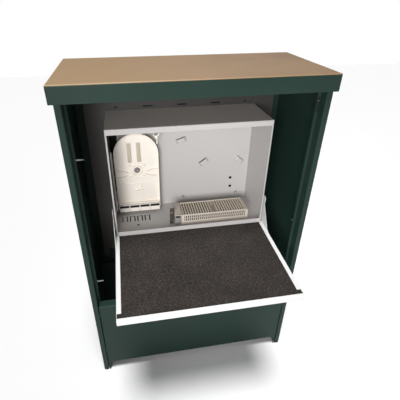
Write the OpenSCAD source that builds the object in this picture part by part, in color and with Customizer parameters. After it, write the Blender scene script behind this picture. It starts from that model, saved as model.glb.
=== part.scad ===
// Roadside utility cabinet with an inner fibre box and a drop-down box door.
// +Z is up, the cabinet's front faces -Y, and the origin is on the ground at
// the middle of the footprint. Millimetres.

/* [Cabinet body] */
// Width over the side panels
body_w = 824; // [700:1:1100]
// Depth over the front and back flanges
body_d = 376; // [340:1:480]
// Height of the body, up to the underside of the lid
body_h = 1258; // [1220:1:1520]
// Sheet thickness of the cabinet
sheet = 2; // [1.5:0.1:3]
// Inner radius of the cabinet's folds
fold_r = 1.5; // [1:0.1:3]
// Width of the front face of a side panel
flange_w = 20; // [16:1:30]
// How far the door rebate lies behind the front face
rebate_d = 34; // [28:1:45]
// Width of the lip in the door rebate
rebate_lip = 8; // [7:1:12]
// Depth of the return behind the rebate lip
rebate_return = 12; // [8:1:20]
// Width of the back and top flanges of a side panel
inner_flange = 26; // [20:1:35]
// Radius of a foot's outer corner
foot_r = 8; // [4:1:12]

/* [Lid] */
// How far the lid stands out at each side
lid_side = 13; // [9:1:25]
// How far the lid stands out at the front and back
lid_front = 9; // [8:1:25]
// Depth of the lid's skirt below its top
lid_skirt = 53; // [45:1:80]
// Outer radius of the lid's edges
lid_r = 5; // [3.5:0.5:8]
// Diameter of the lid's welded studs
stud_d = 6; // [5:1:8]
// Length of the lid's welded studs
stud_l = 20; // [16:1:30]

/* [Plinth] */
// Height of the plinth panel
plinth_h = 400; // [300:1:450]
// Gap between the plinth panel and a side panel
plinth_gap = 2; // [1:0.5:4]
// Height of the raised bottom edge
plinth_raise = 50; // [30:1:80]
// Width of each leg of the plinth panel
plinth_leg = 7; // [5:1:20]
// Radius of the cut-out's corners
plinth_cut_r = 28; // [10:1:30]

/* [Frame rails] */
// Leg width of the base rails
base_leg = 50; // [40:1:70]
// Thickness of the base rails
base_t = 3; // [2:0.5:5]
// Diameter of the anchor holes
anchor_d = 14; // [9:1:18]
// Distance between anchor holes across the cabinet
anchor_x = 770; // [640:1:790]
// Distance between anchor holes from front to back
anchor_y = 220; // [120:1:240]
// Height of the lower cross rail's top face
cross_z = 314; // [250:1:330]
// Depth of the lower cross rail's web
cross_web = 30; // [20:1:50]
// Width of a plate rail's raised middle
rail_mid = 50; // [30:1:60]
// Distance of a plate rail's centre from the middle
rail_x = 285; // [200:1:290]

/* [Mounting plate] */
// Width of the mounting plate
plate_w = 752; // [640:1:780]
// Height of the plate's bottom edge
plate_z = 371; // [340:1:400]
// Gap from the plate's back to the back panel
plate_gap = 24.7; // [20:0.1:40]
// Depth of the plate's bottom lip
plate_lip = 12; // [8:1:20]
// Size of the corner notches, across
notch_w = 21; // [10:1:30]
// Size of the corner notches, up
notch_h = 40; // [20:1:60]
// Distance between the plate's slots
slot_pitch = 134; // [100:1:140]
// Length of a slot
slot_w = 38; // [20:1:60]
// Height of a slot
slot_h = 5; // [3:0.5:8]

/* [Inner box] */
// Width of the box
box_w = 592; // [500:1:620]
// Depth of the box
box_d = 211; // [200:1:240]
// Height of the box
box_h = 442; // [420:1:480]
// Height of the box's underside above the ground
box_z = 634; // [600:1:660]
// Sheet thickness of the box and its door
box_t = 1.5; // [1:0.1:2]
// Outer radius of the box's edges
box_r = 3; // [2.5:0.5:5]
// Height of the lip over the mouth
top_lip = 20; // [12:1:30]
// Height of the lip under the mouth
bottom_lip = 21; // [12:1:26]
// Width of the lips beside the mouth
side_lip = 6; // [4:1:12]
// Diameter of the cable holes in the box's back
cable_hole_d = 13; // [8:1:16]
// Diameter of the box bolts
box_bolt_d = 6; // [5:1:8]

/* [Box door] */
// Distance of the pivots behind the box's front
pivot_back = 20.3; // [18:0.1:30]
// Height of the pivots above the box's underside
pivot_up = 28.6; // [26:0.1:40]
// Diameter of the pivot pins
pivot_d = 8; // [6:1:10]
// Length of the door from its pivots to its front edge
door_l = 416.4; // [380:0.1:430]
// Gap between the box's side and the door's cheek
cheek_gap = 3.7; // [3:0.1:6]
// Height of the door's rim
door_rim = 20.5; // [16:0.5:24]
// Width of the lips at the door's sides
door_side_lip = 15.3; // [8:0.1:20]
// Width of the lip at the door's front
door_front_lip = 11.2; // [8:0.1:20]
// How far the side lips stop short of the front corners
lip_cut = 18; // [12:1:30]
// Gap between the closed door's lips and the box
door_gap = 1.2; // [0.8:0.1:3]
// Slope of the open door, in degrees below level
door_slope = 2.6; // [0:0.1:6]

/* [Splice tray] */
// Width of the splice tray
tray_w = 177.2; // [150:0.1:190]
// Height of the splice tray above its hinge
tray_h = 316; // [280:1:340]
// Depth of the splice tray
tray_d = 12; // [8:1:16]
// Wall thickness of the splice tray
tray_t = 1.8; // [1.2:0.1:2.5]
// Distance of the tray's middle left of the box's middle
tray_x = 194; // [185:1:200]
// Distance of the tray's front from the box's back face
tray_y = 54; // [45:1:70]
// Height of the tray's hinge above the box's underside
tray_hinge_up = 46; // [40:1:60]
// Diameter of the tray's hinge pin
tray_pin_d = 4; // [3:1:5]

/* [Adapter block] */
// Length of the adapter housing
block_w = 310; // [290:1:320]
// Depth of the adapter housing
block_d = 92; // [80:1:100]
// Height of the adapter housing
block_h = 47; // [40:1:60]
// Distance of the housing's left end right of the tray
block_gap = 46; // [30:1:60]
// Number of adapters in each of the two groups
adapters_n = 12; // [6:1:12]
// Distance between neighbouring adapters
adapter_pitch = 10.5; // [9:0.1:10.6]
// Width of one adapter
adapter_w = 6.2; // [5:0.1:8]

/* [Fits] */
// Radial clearance of a pin in a bore that it turns in
run_fit = 0.06; // [0.02:0.01:0.1]
// Radial clearance of a bolt in its hole
bolt_fit = 0.3; // [0.2:0.1:0.6]
// Side clearance between neighbouring pieces
side_fit = 0.3; // [0.2:0.1:0.8]

/* [Hidden] */
$fn = 48;
eps = 1;

// Cabinet planes
half_w = body_w / 2;
half_d = body_d / 2;
in_x = half_w - sheet;
front_y = -half_d;
rebate_y = front_y + rebate_d;
flange_x = half_w - flange_w;
lip_x = flange_x - rebate_lip;
back_y = half_d - 2 * sheet;
plinth_y = front_y + 1;
plinth_x = flange_x - plinth_gap;
plinth_screw_d = 6;
plinth_screw_z = [plinth_raise + 60, plinth_h - 60];
plinth_screw_y = (plinth_y + rebate_y) / 2;
stud_x = in_x - inner_flange / 2;
stud_y = 110;
nut_h = 5;
hole_clear = 2 * bolt_fit;

// Plate and box planes
plate_back = back_y - plate_gap;
plate_face = plate_back - sheet;
plate_top = body_h - 73;
slot_z = box_z + box_h + 10;
screw_d = 8;
screw_z = [plate_z + 70, plate_top - 35];
box_back = plate_face;
box_front = box_back - box_d;
box_in_x = box_w / 2 - box_t;
box_floor = box_z + box_t;
box_wall = box_back - box_t;
box_top = box_z + box_h;
bolt_spots = [[-250, box_top - 36], [250, box_top - 36], [3, box_z + 33], [249, box_z + 33]];
cable_holes = [[219, box_z + 107], [220, box_z + 64]];
clip_spots = [[-5, box_z + 304, 18], [92, box_z + 198, 36], [250, box_z + 196, -40]];
clip_l = 54;
clip_w = 18;
clip_h = 13;
clip_foot = 5;

// Door planes, in the door's own frame: the pivot is its origin, +Y runs
// from the pivots to the rear, and the lips face +Z
pivot_y = box_front + pivot_back;
pivot_z = box_z + pivot_up;
cheek_in = box_w / 2 + cheek_gap;
door_x = cheek_in + box_t;
lips_z = -(pivot_back + door_gap);
door_floor = lips_z - door_rim;
door_rear = 30.6;
lips_rear = -(pivot_back + door_gap + 1.5);
pad_t = door_rim - 2 * box_t - 2 * side_fit;

// Tray planes
tray_left = -tray_x - tray_w / 2;
tray_right = -tray_x + tray_w / 2;
tray_front = box_back - tray_y;
hinge_y = tray_front + 4;
hinge_z = box_z + tray_hinge_up;
barrel_r = tray_pin_d / 2 + 2.6;
tray_bottom = hinge_z + 4;
tray_top = hinge_z + tray_h;
arch_r = tray_w / 2;
ear_t = 2;
ear_r = 6;

// Adapter block planes
block_x0 = tray_right + block_gap;
block_x1 = block_x0 + block_w;
block_y0 = box_front + 37;
block_y1 = block_y0 + block_d;
block_z0 = box_floor;
block_z1 = block_z0 + block_h;
block_t = 2;
foot_w = 26;
group_w = adapters_n * adapter_pitch;
group_gap = 17;
group_x = block_x0 + 33;

// ---------------------------------------------------------------- helpers

// A rectangle from corner a to corner b with round corners.
module round_rect(a, b, r) {
    translate([a[0] + r, a[1]])
        square([b[0] - a[0] - 2 * r, b[1] - a[1]]);
    translate([a[0], a[1] + r])
        square([b[0] - a[0], b[1] - a[1] - 2 * r]);
    for (x = [a[0] + r, b[0] - r], y = [a[1] + r, b[1] - r])
        translate([x, y])
            circle(r);
}

// A block from corner a to corner b with all twelve edges rounded.
module round_block(a, b, r) {
    intersection() {
        translate([0, 0, a[2]])
            linear_extrude(b[2] - a[2])
                round_rect([a[0], a[1]], [b[0], b[1]], r);
        translate([a[0], 0, 0])
            along_x(b[0] - a[0])
                round_rect([a[1], a[2]], [b[1], b[2]], r);
        translate([0, b[1], 0])
            along_y(b[1] - a[1])
                round_rect([a[0], a[2]], [b[0], b[2]], r);
    }
}

// Extrudes a YZ profile along +X.
module along_x(l) {
    rotate([90, 0, 90])
        linear_extrude(l)
            children();
}

// Extrudes an XZ profile towards -Y.
module along_y(l) {
    rotate([90, 0, 0])
        linear_extrude(l)
            children();
}

// A folded sheet's section: t thick along the right-angled midline p, with
// each fold turned at the inner radius r.
module folded(p, t, r) {
    m = r + t / 2;
    last = len(p) - 1;
    for (i = [0 : last - 1]) {
        d = step(p[i], p[i + 1]);
        a = p[i] + d * (i == 0 ? 0 : m);
        b = p[i + 1] - d * (i == last - 1 ? 0 : m);
        side = [abs(d[1]), abs(d[0])] * t / 2;
        lo = [min(a[0], b[0]), min(a[1], b[1])] - side;
        hi = [max(a[0], b[0]), max(a[1], b[1])] + side;
        translate(lo)
            square(hi - lo);
    }
    for (i = [1 : last - 1]) {
        d0 = step(p[i - 1], p[i]);
        d1 = step(p[i], p[i + 1]);
        translate(p[i] - d0 * m + d1 * m)
            intersection() {
                difference() {
                    circle(m + t / 2);
                    circle(m - t / 2);
                }
                polygon([[0, 0], -d1 * 2 * m, (d0 - d1) * 2 * m, d0 * 2 * m]);
            }
    }
}

// The unit vector from a to b.
function step(a, b) = (b - a) / norm(b - a);

// A bar along X from x0 to x1, round, at y and z.
module x_bar(x0, x1, y, z, r) {
    translate([x0, y, z])
        rotate([0, 90, 0])
            cylinder(h = x1 - x0, r = r);
}

// A bar along Y from y0 to y1, round, at x and z.
module y_bar(y0, y1, x, z, r) {
    translate([x, y1, z])
        rotate([90, 0, 0])
            cylinder(h = y1 - y0, r = r);
}

// A plain block from corner a to corner b.
module block(a, b) {
    translate(a)
        cube(b - a);
}

// ---------------------------------------------------------------- cabinet

// One folded tray with its four studs under the top.
module lid() {
    x = half_w + lid_side;
    y = half_d + lid_front;
    z1 = body_h + sheet;
    z0 = z1 - lid_skirt;
    color([0.62, 0.52, 0.41]) {
        difference() {
            round_block([-x, -y, z0 - 2 * lid_r], [x, y, z1], lid_r);
            round_block([sheet - x, sheet - y, z0 - 3 * lid_r], [x - sheet, y - sheet, body_h],
                lid_r - sheet);
            block([-x - eps, -y - eps, z0 - 4 * lid_r], [x + eps, y + eps, z0]);
        }
        for (sx = [-1, 1], sy = [-1, 1])
            translate([sx * stud_x, sy * stud_y, body_h - stud_l])
                cylinder(h = stud_l, d = stud_d);
    }
}

// Four hexagon nuts that pull the lid down on the side panels.
module lid_nuts() {
    color([0.6, 0.6, 0.6])
        for (sx = [-1, 1], sy = [-1, 1])
            translate([sx * stud_x, sy * stud_y, body_h - sheet - nut_h])
                difference() {
                    cylinder(h = nut_h, d = stud_d * 1.9, $fn = 6);
                    translate([0, 0, -eps])
                        cylinder(h = nut_h + 2 * eps, r = stud_d / 2 + run_fit);
                }
}

// The left side panel's section: back flange, side, front face, door rebate.
module side_section() {
    t = sheet / 2;
    folded([[-half_w + inner_flange, half_d - t], [-half_w + t, half_d - t],
        [-half_w + t, front_y + t], [-flange_x - t, front_y + t],
        [-flange_x - t, rebate_y + t], [-lip_x - t, rebate_y + t],
        [-lip_x - t, rebate_y + rebate_return]], sheet, fold_r);
}

module side_panel() {
    difference() {
        union() {
            linear_extrude(body_h)
                side_section();
            block([-half_w + sheet / 2, rebate_y + rebate_return + 2, body_h - sheet],
                [-half_w + sheet + inner_flange, back_y - 20, body_h]);
        }
        foot_corner();
        for (sy = [-1, 1])
            translate([-stud_x, sy * stud_y, body_h - 2 * sheet])
                cylinder(h = 3 * sheet, d = stud_d + hole_clear);
        for (z = plinth_screw_z)
            x_bar(-flange_x - sheet - eps, -flange_x + eps, plinth_screw_y, z,
                plinth_screw_d / 2 + bolt_fit);
    }
}

// What rounds off the outer bottom corner of the left foot.
module foot_corner() {
    translate([0, front_y + sheet + fold_r, 0])
        along_y(sheet + fold_r + eps)
            difference() {
                translate([-half_w - eps, -eps])
                    square(foot_r + eps);
                translate([-half_w + foot_r, foot_r])
                    circle(foot_r);
            }
}

module side_panel_left() {
    color([0.13, 0.22, 0.2])
        side_panel();
}

module side_panel_right() {
    color([0.13, 0.22, 0.2])
        mirror([1, 0, 0])
            side_panel();
}

// The back panel lies against the side panels' back flanges.
module back_panel() {
    t = sheet / 2;
    x = in_x - fold_r - side_fit;
    color([0.12, 0.2, 0.18])
        translate([-x, 0, 0])
            along_x(2 * x)
                folded([[back_y - 18, 20 + t], [back_y + t, 20 + t],
                    [back_y + t, body_h - t], [back_y - 18, body_h - t]], sheet, fold_r);
}

// The rail over the door opening, behind the lid's skirt.
module head_rail() {
    t = sheet / 2;
    y = rebate_y + t;
    z = body_h - lid_skirt + 10;
    color([0.13, 0.22, 0.2])
        translate([-lip_x, 0, 0])
            along_x(2 * lip_x)
                folded([[y + 24, body_h - t], [y, body_h - t], [y, z], [y + 15, z]],
                    sheet, fold_r);
}

// The rail that the plate rails stand on.
module cross_rail() {
    t = sheet / 2;
    x = in_x;
    color([0.13, 0.22, 0.2])
        translate([-x, 0, 0])
            along_x(2 * x)
                folded([[plate_face + t, cross_z - cross_web], [plate_face + t, cross_z - t],
                    [back_y, cross_z - t]], sheet, fold_r);
}

// One hat-section upright between the back panel and the mounting plate.
module plate_rail(x) {
    t = sheet / 2;
    m = rail_mid / 2 - t;
    foot = 20;
    color([0.2, 0.27, 0.25])
        difference() {
            translate([x, 0, cross_z])
                linear_extrude(plate_top - cross_z)
                    folded([[-m - foot, back_y - t], [-m, back_y - t], [-m, plate_back + t],
                        [m, plate_back + t], [m, back_y - t], [m + foot, back_y - t]],
                        sheet, fold_r);
            for (z = screw_z)
                y_bar(plate_back - eps, plate_back + sheet + eps, x, z,
                    screw_d / 2 + bolt_fit);
        }
}

module plate_rail_left() {
    plate_rail(-rail_x);
}

module plate_rail_right() {
    plate_rail(rail_x);
}

// One angle at the foot of a side panel, with two anchor holes.
module base_rail() {
    t = base_t / 2;
    y0 = rebate_y + rebate_return + 2;
    difference() {
        translate([0, back_y, 0])
            along_y(back_y - y0)
                folded([[-in_x + t, base_leg], [-in_x + t, t], [-in_x + base_leg, t]],
                    base_t, fold_r);
        for (sy = [-1, 1])
            translate([-anchor_x / 2, sy * anchor_y / 2, -eps])
                cylinder(h = base_t + 2 * eps, d = anchor_d);
        block([-in_x - eps, back_y - 20, 20 - side_fit], [0, half_d, base_leg + eps]);
    }
}

module base_rail_left() {
    color([0.13, 0.22, 0.2])
        base_rail();
}

module base_rail_right() {
    color([0.13, 0.22, 0.2])
        mirror([1, 0, 0])
            base_rail();
}

// The plinth panel: front, top ledge with a down-turned lip, side returns,
// and a raised bottom edge between two narrow legs.
module plinth_panel() {
    r = fold_r + sheet;
    cut_x = plinth_x - plinth_leg;
    color([0.12, 0.2, 0.18])
        difference() {
            union() {
                difference() {
                    round_block([-plinth_x, plinth_y, -4 * r],
                        [plinth_x, rebate_y + 4 * r, plinth_h], r);
                    round_block([sheet - plinth_x, plinth_y + sheet, -6 * r],
                        [plinth_x - sheet, rebate_y + 6 * r, plinth_h - sheet], fold_r);
                    block([-plinth_x - eps, rebate_y, -5 * r],
                        [plinth_x + eps, rebate_y + 5 * r, plinth_h + eps]);
                }
                block([sheet - plinth_x, rebate_y - sheet, plinth_h - 14],
                    [plinth_x - sheet, rebate_y, plinth_h - sheet]);
            }
            block([-plinth_x - eps, plinth_y - eps, -5 * r],
                [plinth_x + eps, rebate_y + eps, 0]);
            translate([0, plinth_y + sheet, 0])
                along_y(sheet + eps)
                    round_rect([-cut_x, -2 * plinth_cut_r], [cut_x, plinth_raise],
                        plinth_cut_r);
            for (z = plinth_screw_z)
                x_bar(-plinth_x - eps, plinth_x + eps, plinth_screw_y, z,
                    plinth_screw_d / 2 + bolt_fit);
        }
}

// Four washers that keep the plinth panel off the side panels.
module plinth_spacers() {
    color([0.7, 0.7, 0.7])
        for (sx = [-1, 1], z = plinth_screw_z)
            scale([sx, 1, 1])
                difference() {
                    x_bar(plinth_x, flange_x, plinth_screw_y, z, plinth_screw_d * 1.2);
                    x_bar(plinth_x - eps, flange_x + eps, plinth_screw_y, z,
                        plinth_screw_d / 2 + bolt_fit);
                }
}

// Four screws, put in from inside the plinth.
module plinth_screws() {
    color([0.7, 0.7, 0.7])
        for (sx = [-1, 1], z = plinth_screw_z)
            scale([sx, 1, 1]) {
                x_bar(plinth_x - sheet, flange_x + sheet + 5, plinth_screw_y, z,
                    plinth_screw_d / 2);
                x_bar(plinth_x - sheet - 4, plinth_x - sheet, plinth_screw_y, z,
                    plinth_screw_d);
            }
}

// The back plate that the box hangs on, with a row of slots over the box.
module mounting_plate() {
    t = sheet / 2;
    x = plate_w / 2;
    color([0.55, 0.55, 0.53])
        difference() {
            translate([-x, 0, 0])
                along_x(plate_w)
                    folded([[plate_face - plate_lip, plate_z + t],
                        [plate_face + t, plate_z + t], [plate_face + t, plate_top]],
                        sheet, fold_r);
            for (sx = [-1, 1])
                translate([sx * (x - 24 - notch_w / 2), 0, 0])
                    block([-notch_w / 2, plate_face - plate_lip - eps, plate_z - eps],
                        [notch_w / 2, plate_back + eps, plate_z + notch_h]);
            for (i = [-2 : 2])
                translate([i * slot_pitch, plate_back + eps, slot_z])
                    along_y(sheet + 2 * eps)
                        round_rect([-slot_w / 2, -slot_h / 2], [slot_w / 2, slot_h / 2],
                            slot_h * 0.3);
            for (sx = [-1, 1], z = screw_z)
                y_bar(plate_face - eps, plate_back + eps, sx * rail_x, z,
                    screw_d / 2 + bolt_fit);
            for (s = bolt_spots)
                y_bar(plate_face - eps, plate_back + eps, s[0], s[1],
                    box_bolt_d / 2 + bolt_fit);
            for (s = cable_holes)
                y_bar(plate_face - eps, plate_back + eps, s[0], s[1], cable_hole_d / 2);
        }
}

// Four hexagon screws through the plate into its rails.
module plate_screws() {
    color([0.7, 0.7, 0.7])
        for (sx = [-1, 1], z = screw_z) {
            y_bar(plate_face, plate_back + 16, sx * rail_x, z, screw_d / 2);
            translate([sx * rail_x, plate_face, z])
                rotate([90, 0, 0])
                    cylinder(h = 5, d = screw_d * 1.8, $fn = 6);
        }
}

// Two studs on the left rebate that carry the outer door.
module hinge_studs() {
    y = rebate_y + rebate_return / 2 + 1;
    color([0.75, 0.75, 0.72])
        for (z = [body_h * 0.4, body_h * 0.81]) {
            x_bar(-lip_x, -lip_x + 2, y, z, 5.5);
            x_bar(-lip_x, -lip_x + 25, y, z, 3.5);
        }
}

// One short stud on the right rebate that the outer door closes on.
module keep_stud() {
    color([0.75, 0.75, 0.72])
        x_bar(lip_x - 8, lip_x, rebate_y + rebate_return / 2 + 1, body_h * 0.558, 3.5);
}

// The dark strike plate at the top of the right rebate, with its rivet.
module strike_plate() {
    color([0.12, 0.12, 0.12])
        block([lip_x + 1, rebate_y - 1.5, body_h - 126], [flange_x - 2, rebate_y, body_h - 78]);
    color([0.6, 0.45, 0.3])
        y_bar(rebate_y - 3, rebate_y - 1.5, lip_x + 3.5, body_h - 89, 2.2);
}

// ---------------------------------------------------------------- box

// One folded sheet: back, sides, top and floor, with lips round the mouth.
module box_shell() {
    x = box_w / 2;
    color([0.85, 0.84, 0.83])
        difference() {
            round_block([-x, box_front, box_z], [x, box_back, box_top], box_r);
            round_block([box_t - x, box_front + box_t, box_z + box_t],
                [x - box_t, box_wall, box_top - box_t], box_r - box_t);
            block([side_lip - x, box_front - eps, box_z + bottom_lip],
                [x - side_lip, box_front + box_t + eps, box_top - top_lip]);
            x_bar(-x - eps, x + eps, pivot_y, pivot_z, pivot_d / 2 + run_fit);
            for (s = bolt_spots)
                y_bar(box_wall - eps, box_back + eps, s[0], s[1], box_bolt_d / 2 + bolt_fit);
            for (s = cable_holes)
                y_bar(box_wall - eps, box_back + eps, s[0], s[1], cable_hole_d / 2);
            for (s = clip_spots)
                translate([s[0], box_back + eps, s[1]])
                    rotate([0, -s[2], 0])
                        translate([clip_foot - clip_l / 2, -box_t - 2 * eps, 1 - clip_w / 2])
                            cube([clip_l - 2 * clip_foot, box_t + 2 * eps, clip_w - 2]);
            entry_window(eps);
            for (i = [0 : 3])
                tongue_slot(-260.5 + i * 31.2);
            translate([-208, box_front + 66, box_z - eps])
                cylinder(h = box_t + 2 * eps, r = 6);
        }
}

// The cable window in the box's left wall.
module entry_window(over) {
    block([-box_w / 2 - over, box_front + 70, box_z + 100],
        [-box_in_x + over, box_wall - 25, box_top - 60]);
}

// A slot punched round three sides of a tongue in the box's floor.
module tongue_slot(x) {
    w = 24;
    l = 42;
    cut = 5;
    translate([x, box_front + 92, box_z - eps])
        linear_extrude(box_t + 2 * eps)
            difference() {
                translate([-w / 2, 0])
                    square([w, l]);
                translate([cut - w / 2, -eps])
                    square([w - 2 * cut, l - cut + eps]);
            }
}

// Four pan-head screws through the box's back and the mounting plate.
module box_bolts() {
    color([0.6, 0.6, 0.6])
        for (s = bolt_spots) {
            y_bar(box_wall, plate_back + 8, s[0], s[1], box_bolt_d / 2);
            y_bar(box_wall - 2.4, box_wall, s[0], s[1], box_bolt_d * 0.95);
        }
}

// The dark angle sheet in the box's left corner that closes the cable window from inside.
module entry_seal() {
    t = 3;
    leaf = 30;
    z0 = box_z + 90;
    z1 = box_top - 12;
    color([0.06, 0.05, 0.05])
        union() {
            block([-box_in_x, box_front + 14, z0], [-box_in_x + t, box_wall - box_r, z1]);
            block([box_r - box_in_x, box_wall - t, z0], [-box_in_x + leaf, box_wall, z1]);
            block([box_r / 2 - box_in_x, box_wall - t, z0], [-box_in_x + t, box_wall - box_r / 2, z1]);
        }
}

// The door lies open, sloping down to the front; the pivot is its origin.
module door_frame() {
    translate([0, pivot_y, pivot_z])
        rotate([door_slope, 0, 0])
            children();
}

// The tray of the door: floor, front and side walls and the lips.
module door_tray() {
    r = box_t + 1;
    difference() {
        round_block([-door_x, -door_l, door_floor], [door_x, door_rear + 3 * r, lips_z], r);
        round_block([box_t - door_x, box_t - door_l, door_floor + box_t],
            [door_x - box_t, door_rear + 4 * r, lips_z - box_t], r - box_t);
        block([-door_x - eps, door_rear, door_floor - eps],
            [door_x + eps, door_rear + 5 * r, lips_z + eps]);
        block([door_side_lip - door_x, door_front_lip - door_l, lips_z - 2 * box_t],
            [door_x - door_side_lip, door_rear + eps, lips_z + eps]);
        block([box_t - door_x, door_front_lip - door_l, lips_z - 2 * box_t],
            [door_x - box_t, door_front_lip - door_l + lip_cut, lips_z + eps]);
        block([-door_x - eps, lips_rear, lips_z - box_t - 0.5],
            [door_x + eps, door_rear + eps, lips_z + eps]);
    }
}

// One cheek: a gusset from the side wall up to a round ear, with its bore.
module door_cheek() {
    ear = [-13, 87];
    ear_r = 12.5;
    difference() {
        union() {
            polygon([[-112, lips_z - box_t - 0.5], [-96, lips_z - box_t - 0.5],
                [-80.2, -17.6], [-22.5, 65], [-25, ear[1]], [ear[0], ear[1] + 4],
                [ear[0] + ear_r, ear[1]], [19, 4], [door_rear, -25],
                [door_rear, lips_z - box_t - 0.6 - 10], [-112, lips_z - box_t - 0.6 - 10]]);
            translate(ear)
                circle(ear_r);
        }
        circle(pivot_d / 2 + run_fit);
    }
}

// One folded tray with two cheeks outside the box's sides.
module box_door() {
    color([0.93, 0.93, 0.93])
        door_frame() {
            door_tray();
            for (sx = [-1, 1])
                translate([sx * (cheek_in + box_t / 2) - box_t / 2, 0, 0])
                    along_x(box_t)
                        door_cheek();
        }
}

// The foam pad in the door, just under its lips.
module door_pad() {
    x = door_x - box_t - side_fit;
    color([0.2, 0.18, 0.17])
        door_frame()
            block([-x, box_t + side_fit - door_l, door_floor + box_t + side_fit],
                [x, lips_rear - side_fit, door_floor + box_t + side_fit + pad_t]);
}

// One shouldered pin, riveted in the box's side, that carries a cheek.
module pivot_pin(sx) {
    color([0.7, 0.7, 0.7])
        scale([sx, 1, 1]) {
            x_bar(box_in_x - 1.5, door_x + side_fit + 2, pivot_y, pivot_z, pivot_d / 2);
            x_bar(box_w / 2, cheek_in - side_fit, pivot_y, pivot_z, pivot_d * 0.9);
            x_bar(door_x + side_fit, door_x + side_fit + 2, pivot_y, pivot_z, pivot_d * 0.75);
            x_bar(box_in_x - 1.5, box_in_x, pivot_y, pivot_z, pivot_d * 0.75);
        }
}

module pivot_pin_left() {
    pivot_pin(-1);
}

module pivot_pin_right() {
    pivot_pin(1);
}

// ---------------------------------------------------------------- splice tray

// The bracket on the box's back: floor, front wall with four windows, two ears.
module tray_bracket() {
    x0 = tray_left;
    x1 = tray_right;
    y0 = tray_front - 8;
    z0 = box_z + 12;
    z1 = hinge_z + 2;
    side = 4;
    post = 3.5;
    win = (tray_w - 2 * side - 3 * post) / 4;
    color([0.9, 0.87, 0.83])
        difference() {
            union() {
                block([x0, y0, z0], [x1, box_wall, z0 + ear_t]);
                block([x0, y0, z0], [x1, y0 + ear_t, z1]);
                block([x0, box_wall - ear_t, z0], [x1, box_wall, z1]);
                for (x = [x0, x1 - ear_t]) {
                    block([x, y0, z0], [x + ear_t, box_wall, hinge_z - 2]);
                    x_bar(x, x + ear_t, hinge_y, hinge_z, ear_r);
                }
            }
            for (i = [0 : 3])
                block([x0 + side + i * (win + post), y0 - eps, z1 - 16],
                    [x0 + side + i * (win + post) + win, y0 + ear_t + eps, z1 - 4]);
            x_bar(x0 - eps, x1 + eps, hinge_y, hinge_z, tray_pin_d / 2 + run_fit);
        }
}

// The pin through the bracket's ears and the tray's barrel.
module tray_hinge_pin() {
    color([0.7, 0.7, 0.7])
        x_bar(tray_left - 1, tray_right + 1, hinge_y, hinge_z, tray_pin_d / 2);
}

// The arched outline of the tray, inset all round by d.
module tray_outline(d) {
    translate([0, tray_top - arch_r])
        circle(arch_r - d);
    translate([d - arch_r, tray_bottom + d])
        square([2 * (arch_r - d), tray_top - arch_r - tray_bottom - d]);
}

// One moulding: floor, rim, hinge barrel, fibre guides and tie lugs.
module splice_tray() {
    x0 = tray_left + ear_t + side_fit;
    x1 = tray_right - ear_t - side_fit;
    y1 = tray_front + tray_d;
    color([0.91, 0.87, 0.82])
        difference() {
            union() {
                translate([-tray_x, y1, 0])
                    along_y(tray_t)
                        tray_outline(0);
                translate([-tray_x, y1, 0])
                    along_y(tray_d)
                        difference() {
                            tray_outline(0);
                            tray_outline(tray_t);
                        }
                block([x0, hinge_y - 1.5, hinge_z], [x1, hinge_y + 1.5, tray_bottom + 1]);
                x_bar(x0, x1, hinge_y, hinge_z, barrel_r);
                translate([-tray_x, y1 - tray_t + 0.2, tray_top - tray_h * 0.5 - 14])
                    along_y(tray_d * 0.55)
                        tray_guides();
            }
            x_bar(tray_left, tray_right, hinge_y, hinge_z, tray_pin_d / 2 + run_fit);
            x_bar(tray_left - eps, x0, hinge_y, hinge_z, ear_r + 1);
            x_bar(x1, tray_right + eps, hinge_y, hinge_z, ear_r + 1);
        }
}

// The low walls that lead the fibres round the tray's middle.
module tray_guides() {
    difference() {
        circle(34);
        circle(34 - tray_t);
        for (a = [0, 90, 180, 270])
            rotate(a + 45)
                translate([0, -7])
                    square([40, 14]);
    }
    for (s = [-1, 1])
        translate([s * 62, 4])
            difference() {
                circle(26);
                circle(26 - tray_t);
                translate([-40, -40])
                    square([80, 42]);
            }
    for (x = [-14, 2])
        translate([x, -72])
            square([tray_t, 22]);
}

// Two combs that hold the splices, each a base with upright fins.
module splice_combs() {
    y1 = tray_front + tray_d - tray_t;
    fins = 14;
    pitch = 6;
    color([0.8, 0.74, 0.68])
        for (x = [-38, 2])
            translate([-tray_x + x, y1, tray_top - 38 - fins * pitch])
                union() {
                    along_y(2)
                        square([22, fins * pitch]);
                    for (i = [0 : fins - 1])
                        translate([0, 0, 1 + i * pitch])
                            along_y(8)
                                square([22, 1.6]);
                }
}

// The grey hub that the spare fibre is wound on.
module tray_hub() {
    y1 = tray_front + tray_d - tray_t;
    color([0.5, 0.49, 0.48])
        translate([-tray_x, y1, tray_top - tray_h * 0.5 - 2])
            rotate([90, 0, 0]) {
                cylinder(h = 9, r = 10.5);
                cylinder(h = 4, r = 12.5);
            }
}

// The springy hook beside the tray's arch, on a post from the box's back.
module tray_latch() {
    x = tray_right - 6;
    z = tray_top - 18;
    y0 = tray_front - 3;
    color([0.93, 0.9, 0.87]) {
        y_bar(y0 + 4, box_wall, x, z, 4);
        translate([x, y0 + 5, z])
            along_y(5)
                union() {
                    circle(6);
                    rotate(35)
                        translate([0, -2.5])
                            square([17, 5]);
                    rotate(-75)
                        translate([0, -2.5])
                            square([26, 5]);
                }
    }
}

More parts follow.
